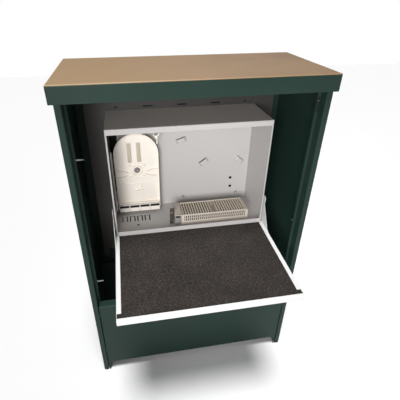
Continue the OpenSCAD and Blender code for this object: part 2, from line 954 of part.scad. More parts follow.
// The slender arm inside the box's left wall, with its knob and foot block.
module side_arm() {
    x0 = -box_in_x;
    y = box_front + 86;
    z0 = box_z + 112;
    z1 = box_z + 322;
    color([0.88, 0.85, 0.82]) {
        difference() {
            block([x0 + 3, y, z0], [x0 + 10, y + 6, z1]);
            block([x0 + 4.6, y - eps, z0 + 45], [x0 + 8.4, y + 6 + eps, z1 - 35]);
        }
        block([x0 + 3, y - 6, z0 - 44], [x0 + 11, y + 14, z0]);
        block([x0, y + 2, z0 - 44], [x0 + 3, y + 14, z0 - 24]);
        y_bar(y - 6, y, x0 + 7, z1 - 8, 4);
    }
}

// ---------------------------------------------------------------- adapters

// The long open holder: floor, front wall with ribs, back wall, end caps.
module adapter_housing() {
    x0 = block_x0 + foot_w;
    cap = group_x - block_x0 - block_t;
    end_x = group_x + 2 * group_w + group_gap;
    color([0.6, 0.54, 0.48])
        difference() {
            union() {
                block([x0, block_y0, block_z0], [block_x1, block_y1, block_z0 + block_t]);
                block([x0, block_y0, block_z0], [block_x1, block_y0 + block_t, block_z1]);
                block([x0, block_y1 - block_t, block_z0],
                    [block_x1, block_y1, block_z1]);
                block([block_x0, block_y0, block_z1 - 3],
                    [block_x0 + cap, block_y1, block_z1]);
                block([x0, block_y0, block_z0], [x0 + block_t, block_y1, block_z1]);
                end_ramp(end_x + side_fit);
                for (i = [0 : 2 * adapters_n])
                    block([group_x + 8 + i * 9.5, block_y0 - 0.8, block_z1 - 32],
                        [group_x + 12.5 + i * 9.5, block_y0 + eps, block_z1 - 11]);
            }
            block([group_x + group_w + 2, block_y0 + block_t + 9, block_z0 + block_t],
                [group_x + group_w + group_gap - 2, block_y1 - block_t, block_z1 + eps]);
        }
}

// The sloped cap at the housing's right end.
module end_ramp(x) {
    translate([0, block_y1, 0])
        along_y(block_d)
            polygon([[x, block_z0], [block_x1, block_z0], [block_x1, block_z1 - 10],
                [x + 4, block_z1], [x, block_z1]]);
}

// Two groups of upright adapters, each a block with a port cut from above.
module adapters() {
    y0 = block_y0 + block_t + 7;
    y1 = block_y1 - block_t - side_fit;
    z1 = block_z1 - 1.5;
    color([0.66, 0.6, 0.53])
        for (g = [0, 1], i = [0 : adapters_n - 1])
            translate([group_x + g * (group_w + group_gap) + i * adapter_pitch + 2, 0, 0])
                difference() {
                    block([0, y0, block_z0 + block_t], [adapter_w, y1, z1]);
                    block([1.6, y0 + 22, z1 - 8], [adapter_w - 1.6, y1 - 14, z1 + eps]);
                }
}

// The dark angle that holds the housing's left end to the box's floor.
module adapter_bracket() {
    x1 = block_x0 - side_fit;
    y = block_y0 + 12;
    color([0.3, 0.27, 0.25])
        difference() {
            union() {
                block([x1 - 18, y, block_z0 + 20], [x1, y + 2, block_z0 + 76]);
                block([x1 - 18, y, block_z0], [x1 - 4, y + 2, block_z0 + 22]);
                block([x1 - 18, y, block_z0], [x1 - 4, y + 22, block_z0 + 2]);
            }
            y_bar(y - eps, y + 2 + eps, x1 - 11, block_z0 + 54, 2 + bolt_fit);
        }
}

// The light screw in that angle.
module adapter_screw() {
    x = block_x0 - side_fit - 11;
    y = block_y0 + 12;
    color([0.85, 0.85, 0.85]) {
        y_bar(y, y + 6, x, block_z0 + 54, 2);
        y_bar(y - 2, y, x, block_z0 + 54, 3.8);
    }
}

// The grey foot block under the housing's left end cap.
module adapter_foot() {
    color([0.4, 0.38, 0.37])
        block([block_x0 + 1, block_y0 + 4, block_z0],
            [block_x0 + foot_w - side_fit, block_y1 - 8, block_z1 - 3 - side_fit]);
}

// Three low bridge clips over openings in the box's back, each turned its own way.
module fibre_clips() {
    color([0.85, 0.83, 0.81])
        for (s = clip_spots)
            translate([s[0], box_wall, s[1]])
                rotate([0, -s[2], 0])
                    difference() {
                        translate([-clip_l / 2, -clip_h, -clip_w / 2])
                            cube([clip_l, clip_h, clip_w]);
                        translate([clip_foot - clip_l / 2, 2.5 - clip_h, -clip_w / 2 - eps])
                            cube([clip_l - 2 * clip_foot, clip_h + eps, clip_w + 2 * eps]);
                    }
}

lid();
lid_nuts();
side_panel_left();
side_panel_right();
back_panel();
head_rail();
cross_rail();
plate_rail_left();
plate_rail_right();
base_rail_left();
base_rail_right();
plinth_panel();
plinth_spacers();
plinth_screws();
mounting_plate();
plate_screws();
hinge_studs();
keep_stud();
strike_plate();
box_shell();
box_bolts();
entry_seal();
box_door();
door_pad();
pivot_pin_left();
pivot_pin_right();
tray_bracket();
tray_hinge_pin();
splice_tray();
splice_combs();
tray_hub();
tray_latch();
side_arm();
adapter_housing();
adapters();
adapter_bracket();
adapter_screw();
adapter_foot();
fibre_clips();
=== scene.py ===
import math

import bpy
import numpy as np
from bpy.props import FloatProperty, FloatVectorProperty
from bpy.types import Operator, Panel, PropertyGroup
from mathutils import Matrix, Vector


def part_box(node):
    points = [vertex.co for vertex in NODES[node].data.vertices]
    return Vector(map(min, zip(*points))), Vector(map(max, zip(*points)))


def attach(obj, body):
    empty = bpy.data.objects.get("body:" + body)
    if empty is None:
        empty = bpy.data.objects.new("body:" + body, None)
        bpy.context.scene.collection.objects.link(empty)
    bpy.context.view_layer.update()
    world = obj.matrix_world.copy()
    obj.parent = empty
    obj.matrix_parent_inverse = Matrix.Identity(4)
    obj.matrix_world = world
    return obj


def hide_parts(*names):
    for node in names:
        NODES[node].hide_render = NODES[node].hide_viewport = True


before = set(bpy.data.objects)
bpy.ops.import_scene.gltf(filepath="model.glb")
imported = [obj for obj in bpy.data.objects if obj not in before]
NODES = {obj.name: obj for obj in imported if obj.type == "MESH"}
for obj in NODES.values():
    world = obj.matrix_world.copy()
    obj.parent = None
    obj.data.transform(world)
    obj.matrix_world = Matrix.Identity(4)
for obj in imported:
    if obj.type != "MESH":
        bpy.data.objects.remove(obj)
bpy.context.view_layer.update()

bl_info = {
    "name": "Utility cabinet looks",
    "version": (1, 0, 0),
    "blender": (4, 5, 0),
    "location": "3D View > Sidebar > Cabinet",
    "description": "Finishes and detailed pieces of a roadside utility cabinet",
    "category": "Object",
}

MM = 0.001
SEED = 11

# Places as (y, z) of the axes that the door and the tray turn on, and the door's slope
DOOR_PIVOT = (-33.4, 662.6)
DOOR_SLOPE = math.radians(2.6)
TRAY_HINGE = (107.3, 680.0)

TRAY_FLOOR = 1.8
COMB_W = 22.0
ADAPTER_PITCH = 10.5
ADAPTERS_N = 12
RIB_PITCH = 9

# Each fibre clip's x, z and turn in degrees
CLIPS = ((-5, 938, 18), (92, 832, 36), (250, 830, -40))
# Each guide wall's start and end beside the hub, and how far it bows
GUIDES = ((36, -8, 83, 3, 2.5), (38, -20, 83, -28, -2.5))

# The lights' fixed angles: the side is turned from the front, softness is the sun's width
KEY_SIDE = math.radians(-10)
KEY_SOFTNESS = math.radians(16)
REAR_HEIGHT = math.radians(30)
REAR_SIDE = math.radians(160)
REAR_SOFTNESS = math.radians(40)
FILL_TARGET = (0.18, 0.0, 0.78)
FILL_RADIUS = 0.5
FILL_CONE = math.radians(54)
WHITE = (1, 1, 1, 1)
FLOOR_HALF = 6


def box_mm(node):
    """The node's lowest and highest corners as two arrays in millimetres."""
    lo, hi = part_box(node)
    return np.array(lo) / MM, np.array(hi) / MM


def centre_of(lo, hi, plane):
    """The middle of a box, as a flat point in a plane."""
    axes = {"xz": [0, 2], "yz": [1, 2]}[plane]
    return ((lo + hi) / 2)[axes]


# ------------------------------------------------------------------ settings


def colour_property(name, value, description):
    """A linear RGB colour setting."""
    return FloatVectorProperty(
        name=name, description=description, subtype="COLOR", size=3, min=0, max=1, default=value
    )


def size_property(name, value, description):
    """A length setting in millimetres."""
    return FloatProperty(name=name, description=description, min=0, max=2000, default=value)


def number_property(name, value, description, **limits):
    """A plain number setting, with limits or a subtype where it has them."""
    return FloatProperty(name=name, description=description, default=value, **limits)


def angle_property(name, degrees, description):
    """An angle setting, given in degrees."""
    return number_property(name, math.radians(degrees), description, subtype="ANGLE")


def place_property(name, value, description):
    """A place in the scene, in metres."""
    return FloatVectorProperty(
        name=name, description=description, subtype="TRANSLATION", size=3, default=value
    )


class PaintSettings(PropertyGroup):
    """Colours of the painted sheet metal, with a painted reflection on the lid's top and painted shade in
    the plate's and the box's colours.
    """

    # Both lid tans are a painted reflection on the green top, lighter at the left and darker at the right.
    lid_top_reflection: colour_property("Lid top", (0.46, 0.31, 0.18), "Tan paint on the top of the lid")
    lid_far_reflection: colour_property("Lid far end", (0.20, 0.11, 0.055), "The tan where it is darkest")
    green: colour_property("Green", (0.016, 0.036, 0.028), "Paint of the outer sheets")
    # Painted shade: the light grey plate is darkened to the near black of the shade it stands in.
    plate: colour_property("Plate", (0.042, 0.039, 0.035), "Paint of the mounting plate")
    # Painted shade: the box's white is darkened to a grey for the shade inside the box; the door stays a
    # lighter white.
    box: colour_property("Box", (0.52, 0.50, 0.488), "Paint of the inner box")
    door: colour_property("Door", (0.70, 0.70, 0.69), "Paint of the box door")


class MouldingSettings(PropertyGroup):
    """Colours of the moulded parts and the foam."""

    tray: colour_property("Tray", (0.92, 0.86, 0.78), "Plastic of the splice tray")
    comb: colour_property("Comb", (0.80, 0.72, 0.62), "Plastic of the splice combs")
    adapter: colour_property("Adapter", (0.72, 0.63, 0.52), "Plastic of the adapters")
    holder: colour_property("Holder", (0.60, 0.53, 0.46), "Plastic of the adapter housing")
    grey: colour_property("Grey", (0.26, 0.25, 0.24), "Plastic of the hub and the foot")
    foam: colour_property("Foam", (0.022, 0.018, 0.0155), "Open-cell foam of the pad")


class DetailSettings(PropertyGroup):
    """Sizes of modelled details, in millimetres."""

    foam_round: size_property("Foam rounding", 3.5, "Radius along the foam pad's edges")
    foam_wave: size_property("Foam wave", 0.5, "Height of the pad's slow unevenness")
    foam_cell: size_property("Foam cell", 0.35, "Height of the pad's open cells")
    fin_pitch: size_property("Fin pitch", 4.6, "Distance between the fins of a comb")
    tooth_pitch: size_property("Tooth pitch", 8.6, "Distance between the housing's teeth")
    wall: size_property("Tray wall", 1.6, "Thickness of the tray's walls")
    edge: size_property("Edge", 0.5, "Rounding of moulded edges")


class StageSettings(PropertyGroup):
    """Camera, floor and lights."""

    eye: place_property("Eye", (-0.2185, -1.1508, 1.4803), "Camera position")
    yaw: angle_property("Yaw", 9.71, "Turn towards +X")
    pitch: angle_property("Pitch", 30.8, "Tilt down")
    lens: number_property("Lens", 30.93, "Focal length in millimetres", min=10, max=200)
    shift_x: number_property("Shift X", 0.0415, "Sideways shift")
    shift_y: number_property("Shift Y", -0.0218, "Upward shift")
    ambient: number_property("Ambient", 0.12, "Strength of the even light", min=0)
    key: number_property("Key", 2.95, "Strength of the main light", min=0)
    key_height: angle_property("Key height", 79, "Height angle of the main light")
    fill: number_property("Fill", 190, "Power of the front light", min=0)
    fill_place: place_property("Fill place", (-0.55, -1.8, 1.32), "Where the front light stands")
    rear: number_property("Rear", 0.15, "Strength of the light from behind", min=0)
    floor: colour_property("Floor", (0.92, 0.92, 0.92), "Plain pale floor")


# ------------------------------------------------------------------ meshes


def quads_of(m, n, closed=True):
    """Quads between m rings of n points. Rings run along the outward-right-handed axis."""
    i = np.arange(m - 1)[:, None]
    j = np.arange(n if closed else n - 1)[None, :]
    k = (j + 1) % n
    return np.stack([i * n + j, i * n + k, (i + 1) * n + k, (i + 1) * n + j], -1).reshape(-1, 4)


def tube_part(rings):
    """A closed solid from an array of rings (m, n, 3): side quads and two end faces."""
    m, n = rings.shape[:2]
    first = np.arange(n)[::-1]
    last = np.arange(n) + (m - 1) * n
    return rings.reshape(-1, 3), quads_of(m, n), [first, last]


def set_out(points, height, plane):
    """Flat points (n, 2) at a height over a plane, as points in space. The plane's two axes
    and its height axis are right-handed: xy has height +Z, xz has -Y and yz has +X."""
    u, v = points[:, 0], points[:, 1]
    h = np.full_like(u, height)
    columns = {"xy": (u, v, h), "xz": (u, -h, v), "yz": (h, u, v)}[plane]
    return np.stack(columns, -1)


def rounded_outline(lo, hi, r, steps=4):
    """A rectangle from lo to hi with round corners: four quarter circles of radius r."""
    (x0, y0), (x1, y1) = lo, hi
    r = min(r, (x1 - x0) / 2 - 1e-3, (y1 - y0) / 2 - 1e-3)
    a = np.linspace(0, math.pi / 2, steps + 1)
    centres = [(x1 - r, y1 - r, 0), (x0 + r, y1 - r, 1), (x0 + r, y0 + r, 2), (x1 - r, y0 + r, 3)]
    arcs = [
        np.stack([cx + r * np.cos(a + q * math.pi / 2), cy + r * np.sin(a + q * math.pi / 2)], -1)
        for cx, cy, q in centres
    ]
    return np.concatenate(arcs)


def inset(outline, d):
    """The outline moved inwards by d along its own normals; it runs anticlockwise."""
    ahead = np.roll(outline, -1, 0) - outline
    behind = outline - np.roll(outline, 1, 0)
    ahead = ahead / np.maximum(np.linalg.norm(ahead, axis=1, keepdims=True), 1e-9)
    behind = behind / np.maximum(np.linalg.norm(behind, axis=1, keepdims=True), 1e-9)
    inward = np.stack([-(ahead + behind)[:, 1], (ahead + behind)[:, 0]], -1)
    size = np.maximum(np.linalg.norm(inward, axis=1, keepdims=True), 1e-6)
    return outline + inward / size * d * np.clip(2 / size, 1, 1.6)


def rect(lo, hi, r, steps=4):
    """A round-cornered rectangle, as a function of how far it is inset."""
    lo, hi = np.array(lo, float), np.array(hi, float)
    return lambda d: rounded_outline(lo + d, hi - d, max(r - d, 0.1), steps)


def arch(mid, foot, spring, r):
    """A rectangle under a half circle, as a function of how far it is inset."""

    def outline(d):
        a = np.linspace(0, math.pi, 49)
        top = np.stack([mid + (r - d) * np.cos(a), spring + (r - d) * np.sin(a)], -1)
        base = rounded_outline((mid - r + d, foot + d), (mid + r - d, spring), max(5 - d, 0.3), 4)
        return np.concatenate([top, base[10:]])

    return outline


def shape(points):
    """Any anticlockwise outline, as a function of how far it is inset."""
    return lambda d: inset(points, d)


def slab_part(outline, low, high, edge, plane, steps=3):
    """A plate of the outline's shape between two heights, its rims rounded by quarter
    circles of radius edge: each ring is the outline inset by the circle's own inset."""
    edge = min(edge, (high - low) / 2)
    a = np.linspace(0, math.pi / 2, steps + 1)
    d = np.concatenate([edge * (1 - np.sin(a)), edge * (1 - np.cos(a))])
    h = np.concatenate([low + edge * (1 - np.cos(a)), high - edge * (1 - np.sin(a))])
    return tube_part(np.stack([set_out(outline(di), hi, plane) for di, hi in zip(d, h)]))


def frame_part(outline, thick, low, high, edge, plane):
    """A closed wall on the outline, thick inwards, between two heights, its top rounded."""
    a = np.linspace(0, math.pi / 2, 4)
    out, up = edge * (1 - np.cos(a)), high - edge * (1 - np.sin(a))
    d = np.concatenate([[0], out, thick - out[::-1], [thick]])
    h = np.concatenate([[low], up, up[::-1], [low]])
    rings = np.stack([set_out(outline(di), hi, plane) for di, hi in zip(d, h)])
    m, n = rings.shape[:2]
    return rings.reshape(-1, 3), quads_of(m + 1, n) % (m * n), []


def block_part(lo, hi, edge, steps=3):
    """A block from corner lo to corner hi with every edge rounded."""
    return slab_part(rect(lo[:2], hi[:2], edge * 1.25, steps), lo[2], hi[2], edge, "xy", steps)


def wall_part(path, thick, low, high, plane, edge=0.4):
    """A low wall along an open flat path: the path moved to both sides by half the thickness."""
    t = np.gradient(path, axis=0)
    t = t / np.linalg.norm(t, axis=1, keepdims=True)
    side = np.stack([-t[:, 1], t[:, 0]], -1) * thick / 2
    outline = np.concatenate([path - side, (path + side)[::-1]])
    return slab_part(shape(outline), low, high, edge, plane, 2)


def arc_path(centre, r, start, stop, count=24):
    """Points on a circle from one angle to another, in degrees."""
    a = np.radians(np.linspace(start, stop, count))
    return np.stack([centre[0] + r * np.cos(a), centre[1] + r * np.sin(a)], -1)


def bowed_path(start, stop, bow, count=20):
    """Points from start to stop, pushed aside by a half sine of height bow."""
    start, stop = np.array(start, float), np.array(stop, float)
    t = np.linspace(0, 1, count)[:, None]
    along = stop - start
    side = np.array([-along[1], along[0]]) / np.hypot(*along)
    return start + along * t + side * bow * np.sin(math.pi * t)


def resampled(path, count):
    """The same open path with count points at equal distances."""
    length = np.concatenate([[0], np.cumsum(np.linalg.norm(np.diff(path, axis=0), axis=1))])
    at = np.linspace(0, length[-1], count)
    return np.stack([np.interp(at, length, path[:, i]) for i in range(path.shape[1])], -1)


def softened(points, r, closed=True):
    """The polygon or path with each corner replaced by a quadratic curve, r from the corner."""
    before, after = np.roll(points, 1, 0) - points, np.roll(points, -1, 0) - points
    reach = [r / np.maximum(np.linalg.norm(v, axis=1, keepdims=True), 1e-9) for v in (before, after)]
    a, b = points + before * reach[0], points + after * reach[1]
    t = np.linspace(0, 1, 6)[None, :, None]
    curve = (1 - t) ** 2 * a[:, None] + 2 * t * (1 - t) * points[:, None] + t**2 * b[:, None]
    if closed:
        return curve.reshape(-1, 2)
    return np.concatenate([points[:1], curve[1:-1].reshape(-1, 2), points[-1:]])


def turned_part(profile, centre, plane, count=32):
    """A profile of (radius, height) turned round an axis through the flat centre point."""
    a = np.linspace(0, 2 * math.pi, count, endpoint=False)
    circle = np.stack([np.cos(a), np.sin(a)], -1)
    return tube_part(np.stack([set_out(circle * r + centre, h, plane) for r, h in profile]))


def rod_part(r, low, high, centre, count=24):
    """A plain shank that points to the front, between two heights."""
    return turned_part([(r, low), (r, high)], centre, "xz", count)


def screw_head(centre, base, r, height, turn=20):
    """A domed head facing the front, with a cross recess: the radius of the recess is
    r * (0.18 + 0.42 * cos(2a)^8) at angle a."""
    a = np.linspace(0, 2 * math.pi, 64, endpoint=False)
    circle = np.stack([np.cos(a), np.sin(a)], -1)
    star = (0.18 + 0.42 * np.cos(2 * (a - math.radians(turn))) ** 8)[:, None]
    top = base + height
    steps = [(1, base), (1, base + 0.3 * height), (0.93, base + 0.66 * height), (0.8, top - 0.1 * height),
             (0.66, top), (star, top), (star * 0.9, top - 0.2 * height), (star * 0.6, top - 0.75 * height)]
    return [tube_part(np.stack([set_out(circle * k * r + centre, h, "xz") for k, h in steps]))]


def swept_part(section, path):
    """A flat closed section carried along a path in space. Its first axis stays square to
    the path in the plane of the path and the up axis, its second to the side."""
    t = np.gradient(path, axis=0)
    t = t / np.linalg.norm(t, axis=1, keepdims=True)
    up = np.array([1.0, 0.0, 0.0]) if abs(t[0, 0]) < 0.8 else np.array([0.0, 0.0, 1.0])
    side = np.cross(t, up)
    side = side / np.linalg.norm(side, axis=1, keepdims=True)
    over = np.cross(side, t)
    rings = path[:, None] + over[:, None] * section[:, :1] + side[:, None] * section[:, 1:]
    return tube_part(rings)


def turn_xz(parts, centre, degrees):
    """Parts turned about a centre (x, z), anticlockwise as seen from the front."""
    a = math.radians(degrees)
    turn = np.array([[math.cos(a), 0, math.sin(a)], [0, 1, 0], [-math.sin(a), 0, math.cos(a)]])
    pivot = np.array([centre[0], 0, centre[1]])
    return [((co - pivot) @ turn + pivot, quads, caps) for co, quads, caps in parts]


def on_door(co):
    """Points given in the door's own frame, as points of the open door."""
    c, s = math.cos(DOOR_SLOPE), math.sin(DOOR_SLOPE)
    y, z = co[:, 1], co[:, 2]
    return np.stack([co[:, 0], DOOR_PIVOT[0] + y * c - z * s, DOOR_PIVOT[1] + y * s + z * c], -1)


def door_box(node):
    """The lowest and highest corners of a node in the door's own frame."""
    co = points_of(node)
    c, s = math.cos(DOOR_SLOPE), math.sin(DOOR_SLOPE)
    y, z = co[:, 1] - DOOR_PIVOT[0], co[:, 2] - DOOR_PIVOT[1]
    local = np.stack([co[:, 0], y * c + z * s, z * c - y * s], -1)
    return local.min(0), local.max(0)


def points_of(node):
    """A node's vertices in millimetres."""
    mesh = NODES[node].data
    co = np.empty(len(mesh.vertices) * 3, np.float32)
    mesh.vertices.foreach_get("co", co)
    return co.reshape(-1, 3).astype(float) / MM


def solids_of(node):
    """The lowest and highest corners of each separate solid of a node: points at one place
    are one, and each edge's ends take the smaller of their two labels until none changes."""
    co = points_of(node)
    mesh = NODES[node].data
    edges = np.empty(len(mesh.edges) * 2, np.int32)
    mesh.edges.foreach_get("vertices", edges)
    _, same = np.unique(np.round(co, 2), axis=0, return_inverse=True)
    same = same.ravel()
    a, b = same[edges.reshape(-1, 2)].T
    label = np.arange(same.max() + 1)
    while True:
        low = np.minimum(label[a], label[b])
        new = label.copy()
        np.minimum.at(new, a, low)
        np.minimum.at(new, b, low)
        if np.array_equal(new, label):
            break
        label = new
    kept = [co[label[same] == k] for k in np.unique(label)]
    return [(k.min(0), k.max(0)) for k in kept]


def make_piece(name, parts, finish, body, nodes, sharp=35):
    """Joins parts, given in millimetres, into one object of a finish that rides on a body."""
    starts = np.cumsum([0] + [len(p[0]) for p in parts[:-1]])
    co = np.concatenate([p[0] for p in parts]) * MM
    quads = np.concatenate([p[1] + s for p, s in zip(parts, starts)])
    caps = [c + s for p, s in zip(parts, starts) for c in p[2]]
    loops = np.concatenate([quads.ravel()] + caps).astype(np.int32)
    totals = np.array([4] * len(quads) + [len(c) for c in caps], np.int32)
    mesh = bpy.data.meshes.new(name)
    mesh.vertices.add(len(co))
    mesh.vertices.foreach_set("co", co.astype(np.float32).ravel())
    mesh.loops.add(len(loops))
    mesh.loops.foreach_set("vertex_index", loops)
    mesh.polygons.add(len(totals))
    mesh.polygons.foreach_set("loop_start", np.concatenate([[0], np.cumsum(totals)[:-1]]).astype(np.int32))
    mesh.polygons.foreach_set("use_smooth", np.ones(len(totals), bool))
    mesh.update(calc_edges=True)
    mesh.validate()
    mesh.set_sharp_from_angle(angle=math.radians(sharp))
    mesh.materials.append(finish_named(finish))
    piece = bpy.data.objects.new(name, mesh)
    bpy.context.scene.collection.objects.link(piece)
    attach(piece, body)
    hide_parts(*nodes)
    return piece


# ------------------------------------------------------------------ materials


def new_group(name, inputs, outputs):
    """An empty shader node group with named float or vector sockets."""
    group = bpy.data.node_groups.new(name, "ShaderNodeTree")
    for label, kind, value in inputs:
        socket = group.interface.new_socket(label, in_out="INPUT", socket_type=kind)
        if value is not None:
            socket.default_value = value
    for label, kind in outputs:
        group.interface.new_socket(label, in_out="OUTPUT", socket_type=kind)
    return group, group.nodes.new("NodeGroupInput"), group.nodes.new("NodeGroupOutput")


def link_or_set(tree, socket, source):
    """Links a socket to a node's output, or gives it a constant."""
    if hasattr(source, "node"):
        tree.links.new(source, socket)
    else:
        socket.default_value = source


def add_node(tree, kind, links=(), **values):
    """A node with its sockets set by name or number, and its inputs linked."""
    node = tree.nodes.new(kind)
    for key, value in values.items():
        if hasattr(node, key):
            setattr(node, key, value)
    for socket, source in links:
        link_or_set(tree, node.inputs[socket], source)
    return node


def mottle_group():
    """Slow and fine variation of a surface: two noises of different size, as one value
    round a half, and the fine one alone as a height."""
    name = "surface_mottle"
    if name in bpy.data.node_groups:
        return bpy.data.node_groups[name]
    group, given, out = new_group(
        name,
        [("Vector", "NodeSocketVector", None), ("Slow", "NodeSocketFloat", 3.0),
         ("Fine", "NodeSocketFloat", 400.0), ("Mix", "NodeSocketFloat", 0.3)],
        [("Value", "NodeSocketFloat"), ("Height", "NodeSocketFloat")],
    )
    slow, fine = (
        add_node(group, "ShaderNodeTexNoise",
                 [("Vector", given.outputs["Vector"]), ("Scale", given.outputs[scale]),
                  ("Detail", detail)])
        for scale, detail in (("Slow", 3.0), ("Fine", 2.0))
    )
    mix = add_node(group, "ShaderNodeMix",
                   [(0, given.outputs["Mix"]), (2, slow.outputs["Fac"]), (3, fine.outputs["Fac"])])
    group.links.new(mix.outputs[0], out.inputs["Value"])
    group.links.new(fine.outputs["Fac"], out.inputs["Height"])
    return group


def ramp_group():
    """How far a value lies between two limits, from 0 to 1, with soft ends."""
    name = "soft_ramp"
    if name in bpy.data.node_groups:
        return bpy.data.node_groups[name]
    group, given, out = new_group(
        name,
        [("Value", "NodeSocketFloat", 0.0), ("From", "NodeSocketFloat", 0.0),
         ("To", "NodeSocketFloat", 1.0)],
        [("Value", "NodeSocketFloat")],
    )
    ramp = add_node(group, "ShaderNodeMapRange", interpolation_type="SMOOTHSTEP",
                    links=[("Value", given.outputs["Value"]), ("From Min", given.outputs["From"]),
                           ("From Max", given.outputs["To"])])
    group.links.new(ramp.outputs["Result"], out.inputs["Value"])
    return group


class Finish:
    """A material being built: its tree, its shader and its object coordinates."""

    def __init__(self, name, **constants):
        self.material = bpy.data.materials.new("look_" + name)
        self.material.use_nodes = True
        self.tree = self.material.node_tree
        self.shader = self.tree.nodes["Principled BSDF"]
        self.coords = self.tree.nodes.new("ShaderNodeTexCoord").outputs["Object"]
        for key, value in constants.items():
            self.shader.inputs[key.replace("_", " ")].default_value = value

    def axis(self, letter):
        """One object coordinate, in metres."""
        split = add_node(self.tree, "ShaderNodeSeparateXYZ", [(0, self.coords)])
        return split.outputs[letter]

    def mottle(self, slow, fine, mix):
        """The value and height of the shared mottle at these scales."""
        node = add_node(self.tree, "ShaderNodeGroup", node_tree=mottle_group())
        for socket, source in (("Vector", self.coords), ("Slow", slow), ("Fine", fine), ("Mix", mix)):
            link_or_set(self.tree, node.inputs[socket], source)
        return node.outputs["Value"], node.outputs["Height"]

    def ramp(self, value, low, high):
        """0 below low, 1 above high."""
        node = add_node(self.tree, "ShaderNodeGroup", node_tree=ramp_group())
        for socket, source in (("Value", value), ("From", low), ("To", high)):
            link_or_set(self.tree, node.inputs[socket], source)
        return node.outputs["Value"]

    def math(self, operation, a, b):
        """A sum, product or other operation of two values."""
        node = add_node(self.tree, "ShaderNodeMath", [(0, a), (1, b)], operation=operation)
        return node.outputs[0]

    def blend(self, factor, a, b):
        """Colour a where the factor is 0 and colour b where it is 1."""
        node = add_node(self.tree, "ShaderNodeMix", data_type="RGBA")
        for index, value in ((0, factor), (6, a), (7, b)):
            plain = index and not hasattr(value, "node")
            link_or_set(self.tree, node.inputs[index], (*value, 1) if plain else value)
        return node.outputs[2]

    def bump(self, height, strength, distance):
        """Feeds a height into the shader's normal."""
        node = add_node(self.tree, "ShaderNodeBump",
                        [("Height", height), ("Strength", strength), ("Distance", distance)])
        self.tree.links.new(node.outputs[0], self.shader.inputs["Normal"])

    def feed(self, socket, value):
        """Links a value or colour to one of the shader's sockets."""
        self.tree.links.new(value, self.shader.inputs[socket])

    def gloss(self, value, span, low):
        """Roughness that runs from low to low + span with a value."""
        node = add_node(self.tree, "ShaderNodeMath", [(0, value), (1, span), (2, low)],
                        operation="MULTIPLY_ADD")
        self.feed("Roughness", node.outputs[0])


def shade(colour, factor):
    """A colour made lighter or darker."""
    return tuple(min(1.0, c * factor) for c in colour)


def painted(name, colour, rough=0.42, spread=0.10, peel=0.12, shine=0.5):
    """Powder-coated sheet: slow tone changes, a fine orange peel and uneven gloss."""
    f = Finish(name, IOR=1.5, Specular_IOR_Level=shine)
    value, height = f.mottle(4.0, 900.0, 0.25)
    f.feed("Base Color", f.blend(value, shade(colour, 1 - spread), shade(colour, 1 + spread)))
    f.gloss(value, 0.18, rough - 0.09)
    f.bump(height, peel, 0.0004)
    return f.material


def moulded(name, colour, rough=0.5, spread=0.06):
    """Moulded plastic: faint tone changes and a fine spark-eroded grain."""
    f = Finish(name, IOR=1.46)
    value, height = f.mottle(18.0, 1500.0, 0.4)
    f.feed("Base Color", f.blend(value, shade(colour, 1 - spread), shade(colour, 1 + spread)))
    f.gloss(value, 0.2, rough - 0.1)
    f.bump(height, 0.1, 0.0003)
    return f.material


def plated(name, colour=(0.6, 0.6, 0.58), rough=0.34):
    """Zinc-plated steel: metal with a soft bloom of uneven gloss."""
    f = Finish(name, Metallic=1.0)
    value, height = f.mottle(60.0, 1200.0, 0.5)
    f.feed("Base Color", f.blend(value, shade(colour, 0.82), shade(colour, 1.1)))
    f.gloss(value, 0.25, rough - 0.1)
    f.bump(height, 0.08, 0.0002)
    return f.material


def lid_finish(paint):
    """Painted reflection on the top: a warm tan that darkens across X stands in for warm surroundings
    mirrored in the glossy green paint; dark green paint on the skirt, meeting in the rounded bend.
    """
    f = Finish("lid_paint", IOR=1.5, Specular_IOR_Level=0.2)
    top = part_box("lid")[1].z
    value, height = f.mottle(5.0, 900.0, 0.2)
    # Painted reflection: the tan darkens from the left of the top to its right.
    across = f.ramp(f.axis("X"), -0.45, 0.50)
    tan = f.blend(across, tuple(paint.lid_top_reflection), tuple(paint.lid_far_reflection))
    tan = f.blend(value, tan, shade(paint.lid_top_reflection, 0.9))
    green = f.blend(value, shade(paint.green, 0.9), shade(paint.green, 1.15))
    # Only the top gets the painted reflection; the skirt keeps the green paint.
    on_top = f.ramp(f.axis("Z"), top - 0.0042, top - 0.0012)
    f.feed("Base Color", f.blend(on_top, green, tan))
    f.gloss(value, 0.15, 0.28)
    f.bump(height, 0.1, 0.0004)
    return f.material


def foam_finish(colour):
    """Open-cell foam: two sizes of cells whose dark mouths are painted shade in the pores, between lighter
    struts, under a slow unevenness, and a rough height that follows the cells."""
    f = Finish("foam", Roughness=0.95, Sheen_Weight=0.06, Sheen_Roughness=0.6, IOR=1.25)
    pore_shade_masks = []
    for scale in (240.0, 560.0):
        cells = add_node(f.tree, "ShaderNodeTexVoronoi", [("Vector", f.coords), ("Scale", scale)])
        pore_shade_masks.append(f.ramp(cells.outputs["Distance"], 0.1, 0.75))
    both = f.math("MULTIPLY", pore_shade_masks[0], pore_shade_masks[1])
    value, height = f.mottle(9.0, 230.0, 0.7)
    tone = f.math("MULTIPLY", both, f.ramp(value, 0.3, 0.7))
    # Painted shade: the cell mouths fall to half the foam colour, and the struts are lighter.
    f.feed("Base Color", f.blend(tone, shade(colour, 0.5), shade(colour, 4.4)))
    f.bump(f.math("ADD", both, height), 0.8, 0.0014)
    return f.material


def shade_rubber_finish():
    """Matt black rubber with a faint bloom, for sheets that stand in as painted shade."""
    f = Finish("black_rubber", IOR=1.5)
    value, height = f.mottle(30.0, 700.0, 0.4)
    f.feed("Base Color", f.blend(value, (0.006, 0.005, 0.005), (0.016, 0.014, 0.013)))
    f.gloss(value, 0.2, 0.6)
    f.bump(height, 0.2, 0.0004)
    return f.material


MADE = {}


